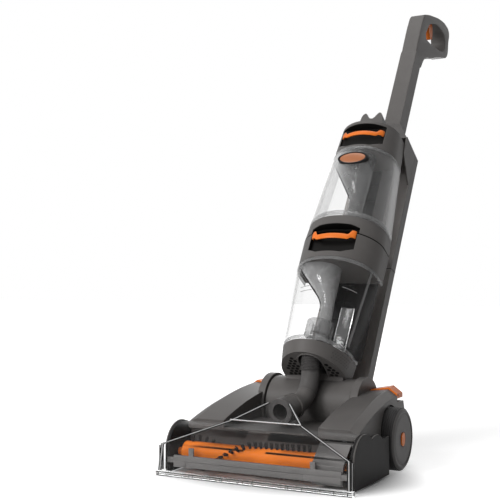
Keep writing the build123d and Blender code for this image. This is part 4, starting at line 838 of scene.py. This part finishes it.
reflection_strip("lower_tank_painted_reflection", cup_rim, lower_seam, (82, 232), 70.0, 75.0, "lower_tank_body", rim_clear)
reflection_strip(
    "lower_tank_painted_dark_reflection", cup_rim, lower_seam, (82, 228), -52.0, -40.0, "lower_tank_body", dark_reflection_clear
)
reflection_strip(
    "upper_tank_painted_dark_reflection", shelf_high, upper_seam, (340, 484), -50.0, -38.0, "upper_tank_body", dark_reflection_clear
)

# Rippled baffle beside the separator's tube
baffle = bmesh.new()
block(baffle, (24, 4, 84), (44, -62, 115), 0.8)
piece("rippled_baffle", baffle, "lower_tank_body", "clear", column, rippled_clear)

# Painted shade: a dark sheet on the inner back of the lower tank, on the right of the spine
back = bmesh.new()
block(back, (44, 0.6, 154), (48, -17.5, 156), 0.2)
piece("lower_tank_back_shade", back, "lower_tank_body", "dark", column)

# Painted shade: a black bead in the seam above the lower cap
cap_edge = front_arc((291.8, *shelf_low[1:]), 38.0, 92.0, -0.5)
bead("cap_seam_shade", cap_edge, 0.9, "lower_tank_body", "dark", column, painted_shade_black)


# Level marks moulded on the lower tank: height, and degrees off the middle
level_marks = ((175.0, -31.0, -9.0), (166.0, -29.0, -8.0), (179.0, 35.0, 58.0))
for number, (height, first, last) in enumerate(level_marks):
    points = front_arc(between(cup_rim, lower_seam, height), first, last, 0.1)
    bead(f"level_mark_{number + 1}", points, 0.55, "lower_tank_body", "grey", column, mark_ink)


# Rows of raised dots on the right and left of the cup
dot_low, dot_rise, dot_first, dot_step = 50.0, 4.4, 50.0, 5.0
dots = bmesh.new()
for row in range(4):
    station = between(vent_rim, cup_rim, dot_low + dot_rise * row)
    for dot in range(8):
        angle = dot_first + dot_step * (dot + row % 2 / 2)
        for hand in (-1, 1):
            spot = Vector(front_point(station, hand * angle, 0.05))
            out = Vector((math.sin(math.radians(hand * angle)), -math.cos(math.radians(angle)), 0))
            place = Matrix.Translation(spot) @ out.to_track_quat("Z", "X").to_matrix().to_4x4()
            bmesh.ops.create_cone(
                dots, cap_ends=True, segments=10, radius1=0.95, radius2=0.55, depth=0.6, matrix=place
            )
piece("cup_dots", dots, "upright", "charcoal", column, finishes["dark"])


# Vent plate: black discs in the holes beside the hose, painting the shade in them, and a rolled rim round the
# hose slot
vent_slope = math.atan(9.5 / 68)
vent_place = column @ Matrix.Translation((0, -38, 36.5)) @ Matrix.Rotation(-vent_slope, 4, "X")
vent_half, vent_deep, hole_r, hole_step = 49.3, 59.3, 3.3, 8.4
slot_x, slot_half, slot_end, slot_rim_r, slot_wall = 7.0, 20.0, -43.2, 21.2, 4.6
vents = bmesh.new()
for row in range(8):
    for place_number in range(-5, 6):
        x = hole_step * (place_number + row % 2 / 2)
        forward = hole_step * math.sqrt(0.75) * (row + 0.6)
        inside = (x / vent_half) ** 2 + (forward / vent_deep) ** 2 < 1
        if inside and abs(x - slot_x) > slot_half + slot_wall:
            place = Matrix.Translation((x, -1 - forward, -0.06))
            bmesh.ops.create_cone(
                vents, cap_ends=True, segments=20, radius1=hole_r, radius2=hole_r, depth=0.2, matrix=place
            )
piece("vent_hole_shade", vents, "upright", "dark", vent_place, painted_shade_black)
turns = [math.pi + math.pi * i / 8 for i in range(9)]
slot_rim = [
    (slot_x + slot_rim_r * math.cos(turn), slot_end + slot_rim_r * math.sin(turn), -0.6) for turn in turns
]
slot_rim = [(slot_x - slot_rim_r, -2, -0.6)] + slot_rim + [(slot_x + slot_rim_r, -2, -0.6)]
bead("hose_slot_rim", slot_rim, 1.5, "upright", "charcoal", vent_place)


# Front crossbar: a stepped bar with a sunk lower panel, two upright clips and a foot at each end
crossbar_blocks = (
    ((284, 5, 9.2), (0, 12.5, 26.4), 0.8),
    ((284, 4, 9.4), (0, 13, 17.4), 0.6),
    ((58, 4.8, 9.4), (112, 12.5, 17.4), 0.6),
    ((22, 4.8, 9.4), (-131, 12.5, 17.4), 0.6),
    ((9, 3.4, 14), (-110.5, 12.5, 36.5), 0.9),
    ((9, 3.4, 11), (96.5, 12.5, 35.5), 0.9),
    ((11, 10, 8), (-147.5, 15, 23), 0.6),
    ((11, 10, 8), (147.5, 15, 23), 0.6),
)
bar = bmesh.new()
for size, centre, soften in crossbar_blocks:
    block(bar, size, centre, soften)
piece("stepped_crossbar", bar, "base", "grey", stands_for=("front_crossbar",))


# Clear edges of the suction channel, each a painted highlight line between painted shade lines, with one more
# highlight line along its crease, its corner posts drawn as painted highlight and shade lines, and the lip's
# painted shade lines
def clear_edge(name, points, radius, finish):
    """A straight-sided bead on the floor head's clear plastic, that paints a highlight line or a shade line,
    as its finish gives.
    """
    return bead(name, points, radius, "base", "clear", None, finish, curved=False)


channel_corners = ((159, -2.6, 8), (157, 2.4, 48.5), (61.5, 48.5, 84.5), (18.5, 96, 110))
post_places = (
    (163.2, 4.0, painted_edge_shade), (161.0, 6.0, painted_edge_highlight), (161.0, 10.0, painted_edge_shade), (158.0, 14.0, painted_edge_shade)
)
for hand, word in hands:
    edge = [(hand * x, y, z) for x, y, z in channel_corners]
    clear_edge(f"{word}_channel_edge", edge, 0.9, painted_edge_highlight)
    for number, aside in enumerate((-2.2, 2.0)):
        shades = [(hand * (x + aside), y, z) for x, y, z in channel_corners]
        clear_edge(f"{word}_channel_shade_{number + 1}", shades, 0.9, painted_edge_shade)
    for number, (x, y, finish) in enumerate(post_places):
        post = [(hand * x, y, 7.5), (hand * x, y, 46)]
        clear_edge(f"{word}_corner_post_{number + 1}", post, 1.1, finish)
clear_edge("channel_crease_edge", [(-61, 47.4, 87), (61, 47.4, 87)], 1.0, painted_edge_highlight)
# Lip: dark strips along its face and short dark ticks across it, painted shade lines on the clear lip
lip_face = -5.3
strips = bmesh.new()
for z, high in ((6.1, 1.5), (3.3, 0.9), (0.8, 1.2)):
    block(strips, (328, 0.5, high), (0, lip_face, z))
piece("lip_lines", strips, "base", "clear", finish=painted_edge_shade)
ticks = bmesh.new()
for x in (-160, -97, -46, -18, -10, 6, 64, 87, 137, 158):
    block(ticks, (1.1, 0.6, 6.0), (x, lip_face, 3.6))
piece("lip_ribs", ticks, "base", "clear", finish=painted_edge_shade)


# Rolled rim along the humped top of each end panel
def arc_through(first, middle, last, count):
    """Points on the circle through three points in Y and Z."""
    (ay, az), (by, bz), (cy, cz) = first, middle, last
    twice = 2 * (ay * (bz - cz) + by * (cz - az) + cy * (az - bz))
    sizes = [y * y + z * z for y, z in (first, middle, last)]
    mid_y = (sizes[0] * (bz - cz) + sizes[1] * (cz - az) + sizes[2] * (az - bz)) / twice
    mid_z = (sizes[0] * (cy - by) + sizes[1] * (ay - cy) + sizes[2] * (by - ay)) / twice
    radius = math.hypot(ay - mid_y, az - mid_z)
    start = math.atan2(az - mid_z, ay - mid_y)
    end = math.atan2(cz - mid_z, cy - mid_y)
    turns = [start + (end - start) * i / (count - 1) for i in range(count)]
    return [(mid_y + radius * math.cos(turn), mid_z + radius * math.sin(turn)) for turn in turns]


rim_line = arc_through((17, 50), (47, 78), (85, 66), 9) + arc_through((85, 66), (107, 71.5), (129, 62), 7)[1:]
rim_line = [(17.8, 5), (17.8, 30)] + rim_line + [(157, 62)]
panel_x, rim_sink = 158.4, 0.8
for hand, word in hands:
    points = [(hand * panel_x, y, z - rim_sink) for y, z in rim_line]
    bead(f"{word}_panel_rim", points, 1.5, "base", "charcoal")


# Screws on the drive case, and dark blocks that paint the shade of its slots, seen through the clear right
# end
case = bmesh.new()
for x in (119.0, 138.0):
    place = Matrix.Translation((x, 78, 63.6))
    bmesh.ops.create_cone(case, cap_ends=True, segments=24, radius1=4.2, radius2=3.6, depth=1.6, matrix=place)
piece("case_screws", case, "base", "steel")
slot_shades = bmesh.new()
for x in (126.0, 131.0, 136.0):
    block(slot_shades, (2.6, 1.0, 16), (x, 19.0, 22), 0.3)
piece("case_slot_shade", slot_shades, "base", "dark")


# Joint line across the spine's wings
wing_joint = ((27, 39.7, 303), (62.6, 39.7, 303), (62.6, 63, 308))
for hand, word in hands:
    points = [(hand * x, y, height) for x, y, height in wing_joint]
    bead(f"{word}_spine_joint", points, 0.5, "upright", "charcoal", column, finishes["dark"], curved=False)


# Spine panel seen through the tanks: sunk pockets between ribs
panel_half, panel_long, panel_middle, panel_thick = 25.0, 523.0, 311.5, 2.7
pocket_rim, pocket_deep = 1.6, 1.7
panel = bmesh.new()
bmesh.ops.create_grid(panel, x_segments=3, y_segments=14, size=1.0)
bmesh.ops.scale(panel, vec=(panel_half, panel_long / 2, 1), verts=panel.verts)
front_faces = panel.faces[:]
made = bmesh.ops.extrude_face_region(panel, geom=front_faces)
bmesh.ops.translate(panel, vec=(0, 0, -panel_thick), verts=grown(made, bmesh.types.BMVert))
bmesh.ops.recalc_face_normals(panel, faces=panel.faces)
front_faces = [face for face in panel.faces if face.normal.z > 0.9]
bmesh.ops.inset_individual(panel, faces=front_faces, thickness=pocket_rim, depth=-pocket_deep)
panel_place = (
    column
    @ Matrix.Translation((0, spine_face, panel_middle))
    @ Matrix.Rotation(math.radians(90), 4, "X")
)
piece("ribbed_spine_panel", panel, "upright", "dark", panel_place, stands_for=("spine_panel",))
